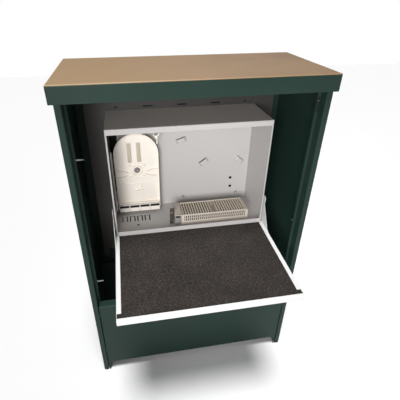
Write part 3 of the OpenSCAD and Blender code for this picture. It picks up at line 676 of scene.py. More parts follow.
def finish_named(name):
    """A finish made once, when a piece first asks for it."""
    if name in MADE:
        return MADE[name]
    scene = bpy.context.scene
    paint, mould = scene.cabinet_paint, scene.cabinet_mould
    makers = {
        # Green skirt paint, with a painted reflection on the lid's top.
        "lid_paint": lambda: lid_finish(paint),
        "green_paint": lambda: painted(name, tuple(paint.green), 0.44, 0.18, 0.12, 0.16),
        # Painted shade: the plate and its rails are darkened for the shade behind the box.
        "grey_paint": lambda: painted(name, tuple(paint.plate), 0.5),
        # Painted shade: the box white is darkened for the inside of the box, and the clips on its back
        # share it.
        "box_paint_painted_shade": lambda: painted(name, tuple(paint.box), 0.45, 0.03),
        "door_paint": lambda: painted(name, tuple(paint.door), 0.4, 0.03),
        "zinc": lambda: plated(name),
        # Painted shade: the studs' zinc is darkened for the shade on the rebate.
        "stud_zinc_painted_shade": lambda: plated(name, (0.13, 0.13, 0.12), 0.4),
        "brass": lambda: plated(name, (0.62, 0.42, 0.2)),
        "dark_steel": lambda: painted(name, (0.07, 0.055, 0.045), 0.45, 0.15),
        "cream_plastic": lambda: moulded(name, tuple(mould.tray), 0.42),
        "comb_plastic": lambda: moulded(name, tuple(mould.comb), 0.5),
        "adapter_plastic": lambda: moulded(name, tuple(mould.adapter), 0.5, 0.14),
        "holder_plastic": lambda: moulded(name, tuple(mould.holder), 0.48, 0.08),
        # Near-black plastic of the blocks that stand in as painted shade in ports, gaps and grooves.
        "port_shade_plastic": lambda: moulded(name, (0.022, 0.015, 0.011), 0.7),
        "grey_plastic": lambda: moulded(name, tuple(mould.grey), 0.6),
        "white_plastic": lambda: moulded(name, (0.72, 0.70, 0.68), 0.45),
        # Painted shade: black plastic of the strike face, in place of a shaded slot.
        "black_plastic": lambda: moulded(name, (0.012, 0.012, 0.012), 0.4),
        "foam": lambda: foam_finish(tuple(mould.foam)),
        # Black rubber for the sheets that stand in as painted shade.
        "black_rubber": shade_rubber_finish,
    }
    MADE[name] = makers[name]()
    return MADE[name]


# ------------------------------------------------------------------ operators


class CabinetOperator(Operator):
    """Base of the operators that make or finish a piece."""

    bl_options = {"REGISTER", "UNDO"}

    def execute(self, context):
        self.make(context.scene)
        return {"FINISHED"}


SHEET_FINISHES = {
    "lid": "lid_paint",
    "side_panel_left": "green_paint",
    "side_panel_right": "green_paint",
    "back_panel": "green_paint",
    "head_rail": "green_paint",
    "cross_rail": "green_paint",
    "base_rail_left": "green_paint",
    "base_rail_right": "green_paint",
    "plinth_panel": "green_paint",
    "plate_rail_left": "grey_paint",
    "plate_rail_right": "grey_paint",
    "mounting_plate": "grey_paint",
    "box_shell": "box_paint_painted_shade",
    "box_door": "door_paint",
    "lid_nuts": "zinc",
    "plinth_spacers": "zinc",
    "plinth_screws": "zinc",
    "tray_hinge_pin": "zinc",
}


class CABINET_OT_sheets(CabinetOperator):
    """Gives the folded sheets and small turned parts their finishes"""

    bl_idname = "cabinet.sheets"
    bl_label = "Sheet finishes"

    def make(self, scene):
        for node, finish in SHEET_FINISHES.items():
            mesh = NODES[node].data
            mesh.materials.clear()
            mesh.materials.append(finish_named(finish))


class CABINET_OT_foam(CabinetOperator):
    """Makes the foam pad that lies in the box door"""

    bl_idname = "cabinet.foam"
    bl_label = "Foam pad"

    def make(self, scene):
        """The pad's top is a grid over its length and width. Its height falls along the rim
        as a quarter circle; products of sines give it slow waves and seeded random steps
        its cells. A second grid is its underside, and a band of faces joins the two."""
        d = scene.cabinet_detail
        lo, hi = door_box("door_pad")
        half, length = hi[0], hi[1] - lo[1]
        nx, ny = 220, 150
        u = np.linspace(-1, 1, nx)[:, None] * half + np.zeros((1, ny))
        s = np.linspace(0, 1, ny)[None, :] * length + np.zeros((nx, 1))
        rim = np.minimum(np.minimum(half - np.abs(u), s), length - s)
        short = np.maximum(d.foam_round - rim, 0)
        fall = d.foam_round - np.sqrt(d.foam_round**2 - short**2)
        rng = np.random.default_rng(SEED)
        wave = np.sin(u / 47 + 1.3) * np.cos(s / 61) + 0.6 * np.sin(u / 23 + s / 31)
        cells = rng.random((nx, ny))
        top = hi[2] - fall - (0.8 - 0.5 * wave) * d.foam_wave - cells * d.foam_cell
        low = lo[2] + fall * 0.4
        co = np.concatenate([np.stack([u, s + lo[1], z], -1).reshape(-1, 3) for z in (top, low)])
        upper = quads_of(nx, ny, closed=False)
        lower = upper[:, ::-1] + nx * ny
        rows, columns = np.arange(nx) * ny, np.arange(ny)
        edge = np.concatenate(
            [columns, rows[1:] + ny - 1, rows[-1] + columns[-2::-1], rows[-2:0:-1]])
        after = np.roll(edge, -1)
        band = np.stack([edge, edge + nx * ny, after + nx * ny, after], -1)
        faces = np.concatenate([upper[:, ::-1], lower[:, ::-1], band[:, ::-1]])
        pad = make_piece("foam_pad", [(on_door(co), faces, [])], "foam", "door",
                         ["door_pad"], sharp=70)


class CABINET_OT_tray(CabinetOperator):
    """Makes the splice tray: its arched floor, rim, ledge, fibre guides, lugs and marks"""

    bl_idname = "cabinet.tray"
    bl_label = "Splice tray"

    def make(self, scene):
        """The outline is a rectangle under a half circle. The rim is that outline carried
        round a closed section, and each guide is a low wall along a circle's arc."""
        d = scene.cabinet_detail
        lo, hi = box_mm("splice_tray")
        mid, r = (lo[0] + hi[0]) / 2, (hi[0] - lo[0]) / 2
        foot = TRAY_HINGE[1] + 4
        rim = arch(mid, foot, hi[2] - r, r)
        ledge = arch(mid, foot + 7, hi[2] - r, r - 7)
        back, front = -hi[1], 4 - TRAY_HINGE[0]
        floor = back + TRAY_FLOOR
        low = floor - 0.2
        hub = centre_of(*box_mm("tray_hub"), "xz")
        parts = [
            slab_part(arch(mid, foot + 0.6, hi[2] - r, r - 0.6), back, floor, 0.3, "xz"),
            frame_part(rim, d.wall, back, front, d.edge, "xz"),
            frame_part(ledge, 0.9, low, floor + 3.2, 0.3, "xz"),
            frame_part(rect(hub - (33, 34), hub + (33, 30), 5), 1.0, low, floor + 2.6, 0.3, "xz"),
        ]
        for side in (-1, 1):
            for x0, z0, x1, z1, bow in GUIDES:
                path = bowed_path(hub + (side * x0, z0), hub + (side * x1, z1), side * bow)
                parts.append(wall_part(path, 1.6, low, floor + 8.5, "xz", 0.4))
            for z in (21, -27):
                lug = hub + (side * 27, z)
                parts.append(slab_part(rect(lug - (4, 3), lug + (4, 3), 1.5), low, floor + 7.5, 0.8, "xz"))
        for angle in (0, 90, 180, 270):
            arc = arc_path(hub, 21, angle + 12, angle + 78)
            parts.append(wall_part(arc, 1.4, low, floor + 7.0, "xz", 0.4))
        sweep = bowed_path((mid - 0.86 * r, hub[1] - 56), (mid + 0.86 * r, hub[1] - 56), -8, 40)
        parts.append(wall_part(sweep, 1.1, low, floor + 4.0, "xz", 0.35))
        hoop = arc_path(hub + (4, -78), 8, 180, 360)
        hoop = np.concatenate([hoop[:1] + (0, 22), hoop, hoop[-1:] + (0, 22)])
        parts.append(wall_part(resampled(hoop, 60), 2.0, low, floor + 5.5, "xz", 0.5))
        bar = hub + (4, -95)
        parts.append(slab_part(rect(bar - (18, 2.4), bar + (18, 2.4), 1.5), low, floor + 7.5, 0.8, "xz"))
        web = rect((lo[0] + 3, TRAY_HINGE[1] - 1), (hi[0] - 3, foot + 2), 0.8)
        parts.append(slab_part(web, -TRAY_HINGE[0] - 1.5, 1.5 - TRAY_HINGE[0], 0.4, "xz"))
        span = hi[0] - lo[0] - 6
        for i in range(5):
            x0, x1 = lo[0] + 3 + span * i / 5, lo[0] + 3 + span * (i + 1) / 5 - 0.6
            parts.append(turned_part([(4.1, x0), (4.6, x0 + 0.5), (4.6, x1 - 0.5), (4.1, x1)],
                                     np.array(TRAY_HINGE), "yz", 32))
        make_piece("tray_moulding", parts, "cream_plastic", "tray",
                   ["splice_tray"])


class CABINET_OT_combs(CabinetOperator):
    """Makes the two splice combs with their rows of thin fins"""

    bl_idname = "cabinet.combs"
    bl_label = "Splice combs"

    def make(self, scene):
        d = scene.cabinet_detail
        lo, hi = box_mm("splice_combs")
        parts = []
        for x0 in (lo[0] + 3, hi[0] - COMB_W):
            x1 = x0 + COMB_W - 6
            parts.append(block_part((x0, hi[1] - 1.6, lo[2]), (x1, hi[1], hi[2]), 0.4))
            count = int((hi[2] - lo[2] - 2) / d.fin_pitch)
            for i in range(count + 1):
                z = lo[2] + 1 + i * d.fin_pitch
                parts.append(block_part((x0, lo[1] + 0.6, z - 0.55), (x1, hi[1] - 1, z + 0.55), 0.35, 2))
            for x in (x0, x1 - 1.4):
                parts.append(block_part((x, lo[1] + 2.2, lo[2]), (x + 1.4, hi[1] - 1, hi[2]), 0.4, 2))
        make_piece("tray_combs", parts, "comb_plastic", "tray",
                   ["splice_combs"])


class CABINET_OT_hub(CabinetOperator):
    """Makes the grey hub in the middle of the splice tray"""

    bl_idname = "cabinet.hub"
    bl_label = "Hub"

    def make(self, scene):
        lo, hi = box_mm("tray_hub")
        mid = centre_of(lo, hi, "xz")
        back, front = -hi[1], -lo[1]
        profile = [(12.5, back), (12.5, back + 2.6), (11.8, back + 3.4), (10.5, back + 3.6),
                   (10.4, front - 1.6), (9.6, front - 0.4), (8.4, front - 0.2), (7.6, front - 1.8),
                   (4.6, front - 2.0), (4.0, front - 0.6), (3.2, front), (0.4, front)]
        parts = [turned_part(profile, mid, "xz", 48)]
        for angle in range(0, 360, 60):
            a = math.radians(angle + 15)
            at = mid + np.array([math.cos(a), math.sin(a)]) * 6.1
            stud = [(0.9, front - 2.4), (0.9, front - 1.2), (0.6, front - 0.9)]
            parts.append(turned_part(stud, at, "xz", 12))
        make_piece("hub_moulding", parts, "grey_plastic", "tray",
                   ["tray_hub"])


class CABINET_OT_latch(CabinetOperator):
    """Makes the forked hook beside the tray's arch"""

    bl_idname = "cabinet.latch"
    bl_label = "Tray hook"

    def make(self, scene):
        lo, hi = box_mm("tray_latch")
        tray_hi = box_mm("splice_tray")[1]
        x, z = tray_hi[0] - 6, tray_hi[2] - 18
        front = -lo[1]
        y0 = front - 6
        parts = [turned_part([(4, -hi[1]), (4, y0 + 1), (6.2, y0 + 1.4), (6.2, front - 0.8),
                              (5.2, front), (2.2, front), (1.8, front - 0.8), (0.3, front - 0.8)],
                             np.array([x, z]), "xz", 32)]
        for angle, reach, bend in ((35, 17, 14), (-75, 25, -10), (140, 12, 0)):
            t = np.linspace(0, 1, 16)
            a = np.radians(angle + bend * t)
            path = np.array([x, z]) + (t * reach)[:, None] * np.stack([np.cos(a), np.sin(a)], -1)
            parts.append(wall_part(path, 4.2, y0 + 1.2, y0 + 5, "xz", 0.9))
            parts.append(turned_part([(2.6, y0 + 0.9), (3.0, y0 + 1.6), (3.0, y0 + 4.4), (2.2, y0 + 5.4)],
                                     path[-1], "xz", 16))
        make_piece("tray_hook", parts, "cream_plastic", "root",
                   ["tray_latch"])


class CABINET_OT_side_arm(CabinetOperator):
    """Makes the slender slotted arm inside the box's left wall"""

    bl_idname = "cabinet.side_arm"
    bl_label = "Side arm"

    def make(self, scene):
        """A stadium frame in the YZ plane with ribs, a foot block and a turned knob."""
        lo, hi = box_mm("side_arm")
        y, z0, z1 = lo[1] + 6, lo[2] + 44, hi[2]
        x0, x1 = lo[0] + 3, lo[0] + 10
        parts = [
            frame_part(rect((x0, z0), (x1, z1), 2), 1.7, -(y + 6), -y, 0.5, "xz"),
            block_part((x0 + 0.5, y + 3.6, z0 + 2), (x1 - 0.5, y + 5.6, z1 - 30), 0.3),
            block_part((x0 + 0.5, y + 0.8, z1 - 38), (x1 - 0.5, y + 5.6, z1 - 1), 0.6),
            block_part((x0 + 0.5, y + 0.8, z0 + 1), (x1 - 0.5, y + 5.6, z0 + 44), 0.6),
            block_part((x0, lo[1], lo[2]), (x1 + 1, lo[1] + 20, z0), 1.2),
            block_part((lo[0], y + 2, lo[2]), (x0 + 1, y + 14, lo[2] + 20), 0.6),
            block_part((x0 - 0.4, lo[1], lo[2] + 6), (x1 + 1.4, lo[1] + 20, lo[2] + 9), 0.5),
        ]
        knob = np.array([x0 + 4, z1 - 8])
        parts.append(turned_part([(3.4, -y), (4, -y + 0.8), (4, -y + 4.6), (3.2, -y + 6), (1.6, -y + 6),
                                  (1.2, -y + 5.2), (0.2, -y + 5.2)], knob, "xz", 28))
        screw = np.array([x0 + 4, lo[2] + 26])
        parts.append(turned_part([(3, -lo[1] - 1), (3, -lo[1] - 0.1), (2.4, -lo[1]), (0.3, -lo[1])],
                                 screw, "xz", 24))
        make_piece("side_arm_moulding", parts, "white_plastic", "root",
                   ["side_arm"])


class CABINET_OT_tray_bracket(CabinetOperator):
    """Makes the tray's bracket with its row of four windows"""

    bl_idname = "cabinet.bracket"
    bl_label = "Tray bracket"

    def make(self, scene):
        """Five posts and two rails leave four windows in the front wall; the side walls end
        in round ears, and a rolled lip runs along the front's foot."""
        lo, hi = box_mm("tray_bracket")
        y0, y1, z0 = lo[1], hi[1], lo[2]
        ear = TRAY_HINGE[1]
        z1 = ear + 2
        top, low = z1 - 4, z1 - 16
        parts = [
            block_part((lo[0], y0, z0), (hi[0], y1, z0 + 2), 0.5),
            block_part((lo[0], y0, z0), (hi[0], y0 + 2, low), 0.6),
            block_part((lo[0], y0, top), (hi[0], y0 + 2, z1), 0.6),
            block_part((lo[0], y1 - 2, z0), (hi[0], y1, z1), 0.6),
            block_part((lo[0], y0, z0), (hi[0], y0 + 5, z0 + 3.4), 1.2),
        ]
        side, post = 4, 3.5
        gap = (hi[0] - lo[0] - 2 * side - 3 * post) / 4
        for i in range(5):
            left = lo[0] + (0 if i == 0 else side + i * (gap + post) - post)
            right = left + (side if i in (0, 4) else post)
            parts.append(block_part((left, y0, z0), (right, y0 + 2, z1), 0.5))
        for x in (lo[0], hi[0] - 2):
            parts.append(block_part((x, y0, z0), (x + 2, y1, ear - 2), 0.5))
            parts.append(turned_part([(5.6, x), (6, x + 0.4), (6, x + 1.6), (5.6, x + 2)],
                                     np.array([TRAY_HINGE[0], ear]), "yz", 32))
        make_piece("bracket_moulding", parts, "cream_plastic", "root",
                   ["tray_bracket"])
        # Painted shade: a black sheet behind the four windows stands in for the shade beyond them.
        window_shade_sheet = [block_part((lo[0] + 2.2, y0 + 2.6, z0 + 2.4), (hi[0] - 2.2, y0 + 4.2, z1 - 0.6), 0.5)]
        make_piece("bracket_window_shade", window_shade_sheet, "black_rubber", "root",
                   ["tray_bracket"])


class CABINET_OT_housing(CabinetOperator):
    """Makes the adapter housing: floor, ribbed walls, rims, divider and end ramp"""

    bl_idname = "cabinet.housing"
    bl_label = "Adapter housing"

    def make(self, scene):
        d = scene.cabinet_detail
        lo, hi = box_mm("adapter_housing")
        a_lo, a_hi = box_mm("adapters")
        y0 = lo[1] + 0.8
        x0, cap = lo[0] + 26, a_lo[0] - 2
        ramp = a_hi[0] + 2
        z0, z1 = lo[2], hi[2]
        parts = [
            block_part((x0, y0, z0), (hi[0], hi[1], z0 + 2), 0.5),
            block_part((x0, y0, z0), (ramp + 1, y0 + 2, z1 - 3), 0.5),
            block_part((x0, y0 - 0.7, z1 - 4), (ramp + 2, y0 + 3.2, z1), 1.0),
            block_part((x0, y0 - 0.6, z0), (hi[0] - 6, y0 + 2, z0 + 5), 0.8),
            block_part((cap - 1, hi[1] - 2, z0), (ramp + 2, hi[1], z1), 0.7),
            block_part((lo[0], y0 - 0.4, z1 - 3), (cap, hi[1], z1), 0.9),
            block_part((lo[0] + 2, y0 + 4, z1 - 1.2), (cap - 3, y0 + 7, z1), 0.4),
            block_part((x0, y0, z0), (x0 + 2, hi[1], z1 - 1), 0.5),
            block_part((cap - 2, y0 + 1, z1 - 12), (cap - 0.4, hi[1], z1), 0.5),
        ]
        middle = (a_lo[0] + a_hi[0]) / 2
        for x in (middle - 5.5, middle + 4):
            parts.append(block_part((x, y0 + 2, z0), (x + 1.6, hi[1] - 1, z1 - 1.5), 0.4))
        parts.append(block_part((middle - 4, hi[1] - 30, z0), (middle + 4, hi[1] - 4, z1 - 6), 0.8))
        slope = np.array([(ramp, z0), (hi[0], z0), (hi[0], z1 - 10), (ramp + 4, z1), (ramp, z1)])
        parts.append(slab_part(shape(softened(slope, 1.2)), -hi[1], -y0 + 0.4, 0.5, "xz"))
        count = int((ramp - a_lo[0] - 8) / d.tooth_pitch)
        # Painted shade: dark strips behind the teeth stand in for the shaded grooves.
        groove_shade_strips = [block_part((a_lo[0] + 4, lo[1] + 0.5, z1 - 17 - row * 13),
                              (ramp - 4, y0 + 1, z1 - 7 - row * 13), 0.2, 1) for row in (0, 1)]
        for row in (0, 1):
            low = z1 - 16.5 - row * 13
            for i in range(count):
                x = a_lo[0] + 6 + i * d.tooth_pitch
                tooth = (x, lo[1] + 0.1, low), (x + d.tooth_pitch * 0.5, y0 + 1, low + 9)
                parts.append(block_part(*tooth, 0.35, 1))
        make_piece("housing_moulding", parts, "holder_plastic", "root",
                   ["adapter_housing"])
        make_piece("housing_groove_shade", groove_shade_strips, "port_shade_plastic", "root",
                   ["adapter_housing"])


class CABINET_OT_adapters(CabinetOperator):
    """Makes the two groups of fibre adapters with their ports, shutters and side clips"""

    bl_idname = "cabinet.adapters"
    bl_label = "Adapters"

    def make(self, scene):
        """Each adapter is a long frame round a deep port, split by two bridges, with a clip
        on its flank; the dark inner blocks lie in the ports and, like the dark blocks between adapters, are
        painted shade."""
        lo, hi = box_mm("adapters")
        shells, ports = [], []
        width = 5.6
        group = hi[0] - lo[0] - width - (2 * ADAPTERS_N - 1) * ADAPTER_PITCH
        for g in range(2):
            for i in range(ADAPTERS_N):
                x = lo[0] + i * ADAPTER_PITCH + g * (ADAPTERS_N * ADAPTER_PITCH + group)
                x1 = x + width
                outline = rect((x, lo[1]), (x1, hi[1]), 1.0)
                shells.append(frame_part(outline, 2.2, lo[2], hi[2], 0.4, "xy"))
                for y in (lo[1] + 21, hi[1] - 24):
                    bridge = (x + 0.8, y, lo[2] + 8), (x1 - 0.8, y + 3.4, hi[2] - 0.5)
                    shells.append(block_part(*bridge, 0.4, 2))
                clip = (x - 0.7, lo[1] + 30, hi[2] - 14), (x + 0.4, lo[1] + 44, hi[2] - 4)
                shells.append(block_part(*clip, 0.4, 2))
                shutter = (x + 0.8, lo[1] + 1, hi[2] - 3.2), (x1 - 0.8, lo[1] + 12, hi[2] - 1.4)
                shells.append(block_part(*shutter, 0.3, 2))
                # Painted shade: a dark block fills the port in place of its shaded depth.
                port = (x + 0.9, lo[1] + 0.9, lo[2]), (x1 - 0.9, hi[1] - 0.9, hi[2] - 4)
                ports.append(block_part(*port, 0.3, 1))
                if i < ADAPTERS_N - 1:
                    # Painted shade: a dark block between neighbours, just under the rib tops, hides their
                    # lit sides.
                    gap = (x1 - 0.2, lo[1] + 0.6, lo[2]), (x + ADAPTER_PITCH + 0.2, hi[1] - 0.6, hi[2] - 3)
                    ports.append(block_part(*gap, 0.3, 1))
        make_piece("adapter_shells", shells, "adapter_plastic", "root",
                   ["adapters"])
        make_piece("adapter_port_shade", ports, "port_shade_plastic", "root",
                   ["adapters"])


class CABINET_OT_mountings(CabinetOperator):
    """Makes the dark bracket, its screw and the grey foot beside the adapter housing"""

    bl_idname = "cabinet.mountings"
    bl_label = "Adapter mountings"

    def make(self, scene):
        lo, hi = box_mm("adapter_bracket")
        y = lo[1]
        screw_lo, screw_hi = box_mm("adapter_screw")
        at = centre_of(screw_lo, screw_hi, "xz")
        plate = softened(np.array([
            (lo[0], lo[2]), (hi[0] - 4, lo[2]), (hi[0] - 4, lo[2] + 20), (hi[0], lo[2] + 22),
            (hi[0], hi[2]), (lo[0], hi[2])]), 2.5)
        parts = [slab_part(shape(plate), -(y + 2), -y, 0.4, "xz"),
                 block_part((lo[0], y, lo[2]), (hi[0] - 4, hi[1], lo[2] + 2), 0.5),
                 turned_part([(5.4, -y - 0.2), (5.4, -y + 0.3), (4.6, -y + 0.6)], at, "xz", 28)]
        make_piece("bracket_plate", parts, "dark_steel", "root",
                   ["adapter_bracket"])
        screw = screw_head(at, -y, 3.8, 2.4) + [rod_part(2, -screw_hi[1], -y, at, 20)]
        make_piece("bracket_screw", screw, "zinc", "root", ["adapter_screw"])
        lo, hi = box_mm("adapter_foot")
        parts = [block_part(lo, hi, 1.5),
                 block_part((lo[0] + 3, lo[1], hi[2] - 12), (hi[0] - 3, lo[1] + 4, hi[2] - 2), 0.8)]
        for i in range(3):
            z = lo[2] + 8 + i * 8
            parts.append(block_part((lo[0] + 2.5, lo[1] - 0.6, z), (hi[0] - 2.5, lo[1] + 1, z + 4), 0.5))
        make_piece("foot_block", parts, "grey_plastic", "root",
                   ["adapter_foot"])


class CABINET_OT_clips(CabinetOperator):
    """Makes the three bridge clips on the box's back"""

    bl_idname = "cabinet.clips"
    bl_label = "Fibre clips"

    def make(self, scene):
        """A bridge is a strip swept over a flat-topped arch: two feet, two legs leaning in,
        and a crown with rolled ends, then turned in the back's plane."""
        back = -box_mm("fibre_clips")[1][1]
        parts = []
        for x, z, angle in CLIPS:
            half = 27
            profile = np.array([(-half, 0.7), (-half + 5, 0.7), (-half + 9, 6), (-half + 13, 11.2),
                             (half - 13, 11.2), (half - 9, 6), (half - 5, 0.7), (half, 0.7)])
            path = resampled(softened(profile, 2.4, closed=False), 56)
            flat = np.stack([x + path[:, 0], -(back + path[:, 1]), np.full(len(path), z)], -1)
            bridge = swept_part(rounded_outline((-9, -0.75), (9, 0.75), 0.6), flat)
            pads = [turned_part([(2.2, back + 1.2), (2.2, back + 1.9), (1.4, back + 2.4)],
                                np.array([x + s * (half - 2.6), z]), "xz", 20) for s in (-1, 1)]
            parts += turn_xz([bridge, *pads], (x, z), angle)
        make_piece("clip_bridges", parts, "box_paint_painted_shade", "root",
                   ["fibre_clips"])


class CABINET_OT_fasteners(CabinetOperator):
    """Makes the screw heads, washers, studs and pins"""

    bl_idname = "cabinet.fasteners"
    bl_label = "Fasteners"

    def make(self, scene):
        self.box_bolts()
        self.plate_screws()
        self.studs()
        self.pins()

    def box_bolts(self):
        """Pan heads with a cross recess, each on a washer."""
        parts = []
        for lo, hi in solids_of("box_bolts"):
            at = centre_of(lo, hi, "xz")
            wall = -lo[1] - 2.4
            parts += screw_head(at, wall + 0.5, 5.2, 1.9)
            parts.append(turned_part([(5.7, wall), (5.7, wall + 0.4), (5.4, wall + 0.5)], at, "xz", 36))
            parts.append(rod_part(3, -hi[1], wall, at))
        make_piece("box_screws", parts, "zinc", "root", ["box_bolts"])

    def plate_screws(self):
        """Hexagon heads with a washer face and a domed crown."""
        parts = []
        for lo, hi in solids_of("plate_screws"):
            at = centre_of(lo, hi, "xz")
            face = -lo[1] - 5
            head = [(7.6, face), (7.6, face + 0.9), (7.2, face + 1.0)]
            parts.append(turned_part(head, at, "xz", 36))
            parts.append(turned_part([(7.0, face + 0.9), (7.0, face + 4.2), (6.1, face + 5)], at, "xz", 6))
            parts.append(rod_part(4, -hi[1], face, at))
        make_piece("plate_bolts", parts, "zinc", "root", ["plate_screws"], sharp=25)

    def studs(self):
        """The door's hinge studs: a flange, a shank, a neck and a rounded nose."""
        parts = []
        for lo, hi in solids_of("hinge_studs"):
            at = centre_of(lo, hi, "yz")
            x = lo[0]
            foot = [(5.5, x), (5.5, x + 1.4), (4.9, x + 2), (3.5, x + 2.4), (3.5, hi[0] - 7)]
            nose = [(2.7, hi[0] - 6), (2.7, hi[0] - 4.6), (3.4, hi[0] - 3.8), (3.2, hi[0] - 1.4),
                    (1.8, hi[0] - 0.2), (0.3, hi[0])]
            parts.append(turned_part(foot + nose, at, "yz", 32))
        lo, hi = box_mm("keep_stud")
        at = centre_of(lo, hi, "yz")
        parts.append(turned_part([(0.3, lo[0]), (2.4, lo[0] + 0.2), (3.5, lo[0] + 1.6), (3.5, hi[0] - 2),
                                  (3.3, hi[0])], at, "yz", 32))
        make_piece("stud_pins", parts, "stud_zinc_painted_shade", "root",
                   ["hinge_studs", "keep_stud"])

    def pins(self):
        """The door's shouldered pivots, each with a flange on both sides of its cheek."""
        parts = []
        for node, side in (("pivot_pin_left", -1), ("pivot_pin_right", 1)):
            lo, hi = box_mm(node)
            at = centre_of(lo, hi, "yz")
            inner, outer = sorted((lo[0], hi[0]), key=abs)
            inner, outer = abs(inner), abs(outer)
            steps = [(2.5, inner), (6, inner + 0.4), (6, inner + 1.5), (4, inner + 1.5), (4, inner + 3),
                     (7.2, inner + 3), (7.2, outer - 4.1), (4, outer - 4.1), (4, outer - 2), (6, outer - 2),
                     (6, outer - 0.7), (4.6, outer), (1.8, outer), (1.5, outer - 0.5), (0.2, outer - 0.5)]
            profile = steps if side > 0 else [(r, -h) for r, h in steps][::-1]
            parts.append(turned_part(profile, at, "yz", 40))
        make_piece("pivot_pins", parts, "zinc", "root",
                   ["pivot_pin_left", "pivot_pin_right"])


class CABINET_OT_seal(CabinetOperator):
    """Makes the ribbed black rubber sheet over the cable window, standing in as painted shade for a dark
    opening, and the strike plate
    """

    bl_idname = "cabinet.seal"
    bl_label = "Cable seal"

    def make(self, scene):
        # Painted shade: the black sheet keeps the cable window as dark as the shade seen there.
        lo, hi = box_mm("entry_seal")
        wall, back = lo[0] + 1.6, hi[1] - 1.6
        parts = [
            block_part(lo, (wall, hi[1], hi[2]), 0.6),
            block_part((lo[0], back, lo[2]), hi, 0.6),
            block_part((lo[0], lo[1], lo[2]), (lo[0] + 3, lo[1] + 5, hi[2]), 0.8),
            block_part((hi[0] - 4, hi[1] - 3, lo[2]), (hi[0], hi[1], hi[2]), 0.8),
        ]
        for i in range(int((hi[2] - lo[2] - 4) / RIB_PITCH)):
            z = lo[2] + 4 + i * RIB_PITCH
            parts.append(block_part((lo[0] + 1, lo[1] + 4, z), (wall + 1.1, hi[1] - 1, z + 4.6), 0.6, 2))
            parts.append(block_part((lo[0] + 1, back - 1.1, z), (hi[0] - 3, back + 1, z + 4.6), 0.6, 2))
        make_piece("seal_sheet_shade", parts, "black_rubber", "root",
                   ["entry_seal"])
        # Painted shade: the black strike face stands in for a shaded slot in the rebate.
        lo, hi = box_mm("strike_plate")
        face = lo[1] + 1.5
        low, high = lo[[0, 2]], hi[[0, 2]]
        parts = [slab_part(rect(low, high, 1.6), -hi[1], -face, 0.4, "xz"),
                 frame_part(rect(low + 0.8, high - 0.8, 1), 0.6, -face - 0.2, -face + 0.7, 0.2, "xz")]
        make_piece("strike_face", parts, "black_plastic", "root",
                   ["strike_plate"])
        at = np.array([lo[0] + 2.5, hi[2] - 11])
        make_piece("strike_rivet", [turned_part([(2.2, -face), (2.2, -face + 0.6), (1.4, -face + 1.4),
                                                 (0.2, -face + 1.5)], at, "xz", 24)],
                   "brass", "root", ["strike_plate"])


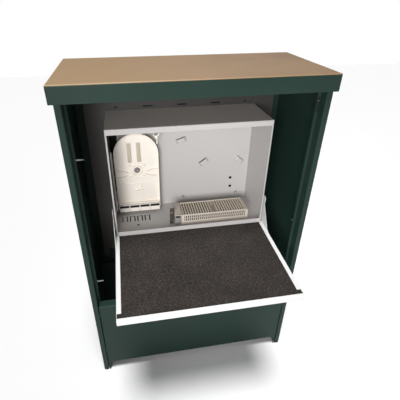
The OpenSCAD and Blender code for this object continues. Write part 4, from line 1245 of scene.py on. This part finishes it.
class CABINET_OT_stage(CabinetOperator):
    """Sets the camera, the pale floor and the soft lights"""

    bl_idname = "cabinet.stage"
    bl_label = "Stage"

    def make(self, scene):
        s = scene.cabinet_stage
        camera = bpy.data.cameras.new("camera")
        camera.lens = s.lens
        camera.sensor_width = 36
        camera.shift_x = s.shift_x
        camera.shift_y = s.shift_y
        camera.clip_start = 0.02
        eye = bpy.data.objects.new("camera", camera)
        eye.location = s.eye
        eye.rotation_euler = (math.pi / 2 - s.pitch, 0, -s.yaw)
        scene.collection.objects.link(eye)
        scene.camera = eye
        self.make_floor(scene, tuple(s.floor))
        self.make_sun(scene, "key", s.key_height, KEY_SIDE, s.key, KEY_SOFTNESS)
        self.make_sun(scene, "rear", REAR_HEIGHT, REAR_SIDE, s.rear, REAR_SOFTNESS)
        self.make_spot(scene, "fill", s.fill_place, FILL_TARGET, s.fill)
        world = bpy.data.worlds.new("studio")
        world.use_nodes = True
        tree = world.node_tree
        soft = tree.nodes["Background"]
        soft.inputs["Color"].default_value = WHITE
        soft.inputs["Strength"].default_value = s.ambient
        seen = tree.nodes.new("ShaderNodeBackground")
        seen.inputs["Color"].default_value = WHITE
        seen.inputs["Strength"].default_value = 1.0
        ray = tree.nodes.new("ShaderNodeLightPath")
        mix = tree.nodes.new("ShaderNodeMixShader")
        tree.links.new(ray.outputs["Is Camera Ray"], mix.inputs[0])
        tree.links.new(soft.outputs[0], mix.inputs[1])
        tree.links.new(seen.outputs[0], mix.inputs[2])
        tree.links.new(mix.outputs[0], tree.nodes["World Output"].inputs["Surface"])
        scene.world = world
        scene.view_settings.view_transform = "Standard"

    def make_floor(self, scene, colour):
        """A wide square of pale floor just under the feet."""
        corners = ((-1, -1), (1, -1), (1, 1), (-1, 1))
        mesh = bpy.data.meshes.new("floor")
        mesh.from_pydata([(x * FLOOR_HALF, y * FLOOR_HALF, 0.0) for x, y in corners], [], [(0, 1, 2, 3)])
        f = Finish("floor", Roughness=0.9)
        value, _ = f.mottle(1.5, 60.0, 0.3)
        f.feed("Base Color", f.blend(value, shade(colour, 0.985), shade(colour, 1.015)))
        mesh.materials.append(f.material)
        floor = bpy.data.objects.new("floor", mesh)
        scene.collection.objects.link(floor)

    def make_light(self, scene, kind, name, strength, place, towards):
        """A light of a kind at a place, shining along a direction."""
        light = bpy.data.lights.new(name, kind)
        light.energy = strength
        holder = bpy.data.objects.new(name, light)
        holder.location = place
        holder.rotation_euler = towards.to_track_quat("-Z", "Y").to_euler()
        scene.collection.objects.link(holder)
        return light

    def make_spot(self, scene, name, place, target, power):
        """A wide soft-edged light at a place, aimed at a point."""
        towards = Vector(target) - Vector(place)
        light = self.make_light(scene, "SPOT", name, power, place, towards)
        light.shadow_soft_size = FILL_RADIUS
        light.spot_size = FILL_CONE
        light.spot_blend = 1.0

    def make_sun(self, scene, name, height, side, strength, softness):
        """An even light from a height angle and an angle to the side of the front."""
        flat = math.cos(height)
        towards = Vector((-flat * math.sin(side), flat * math.cos(side), -math.sin(height)))
        place = (2 * math.sin(side), -2 * math.cos(side), 2.5)
        light = self.make_light(scene, "SUN", name, strength, place, towards)
        light.angle = softness


class CABINET_PT_pieces(Panel):
    """Lists the cabinet's operators"""

    bl_label = "Utility cabinet"
    bl_space_type = "VIEW_3D"
    bl_region_type = "UI"
    bl_category = "Cabinet"

    def draw(self, context):
        for name in STEPS:
            self.layout.operator(name)


SETTINGS = {
    "cabinet_paint": PaintSettings,
    "cabinet_mould": MouldingSettings,
    "cabinet_detail": DetailSettings,
    "cabinet_stage": StageSettings,
}
OPERATORS = [
    CABINET_OT_sheets,
    CABINET_OT_foam,
    CABINET_OT_tray,
    CABINET_OT_combs,
    CABINET_OT_hub,
    CABINET_OT_latch,
    CABINET_OT_side_arm,
    CABINET_OT_tray_bracket,
    CABINET_OT_housing,
    CABINET_OT_adapters,
    CABINET_OT_mountings,
    CABINET_OT_clips,
    CABINET_OT_fasteners,
    CABINET_OT_seal,
    CABINET_OT_stage,
]
STEPS = [operator.bl_idname for operator in OPERATORS]
CLASSES = [*SETTINGS.values(), *OPERATORS, CABINET_PT_pieces]


def register():
    """Adds the classes and the scene's settings."""
    for cls in CLASSES:
        bpy.utils.register_class(cls)
    for name, cls in SETTINGS.items():
        setattr(bpy.types.Scene, name, bpy.props.PointerProperty(type=cls))


def unregister():
    """Takes the settings and classes away again."""
    for name in SETTINGS:
        delattr(bpy.types.Scene, name)
    for cls in reversed(CLASSES):
        bpy.utils.unregister_class(cls)


def main():
    register()
    for name in STEPS:
        area, operator = name.split(".")
        getattr(getattr(bpy.ops, area), operator)()


if __name__ == "__main__":
    main()
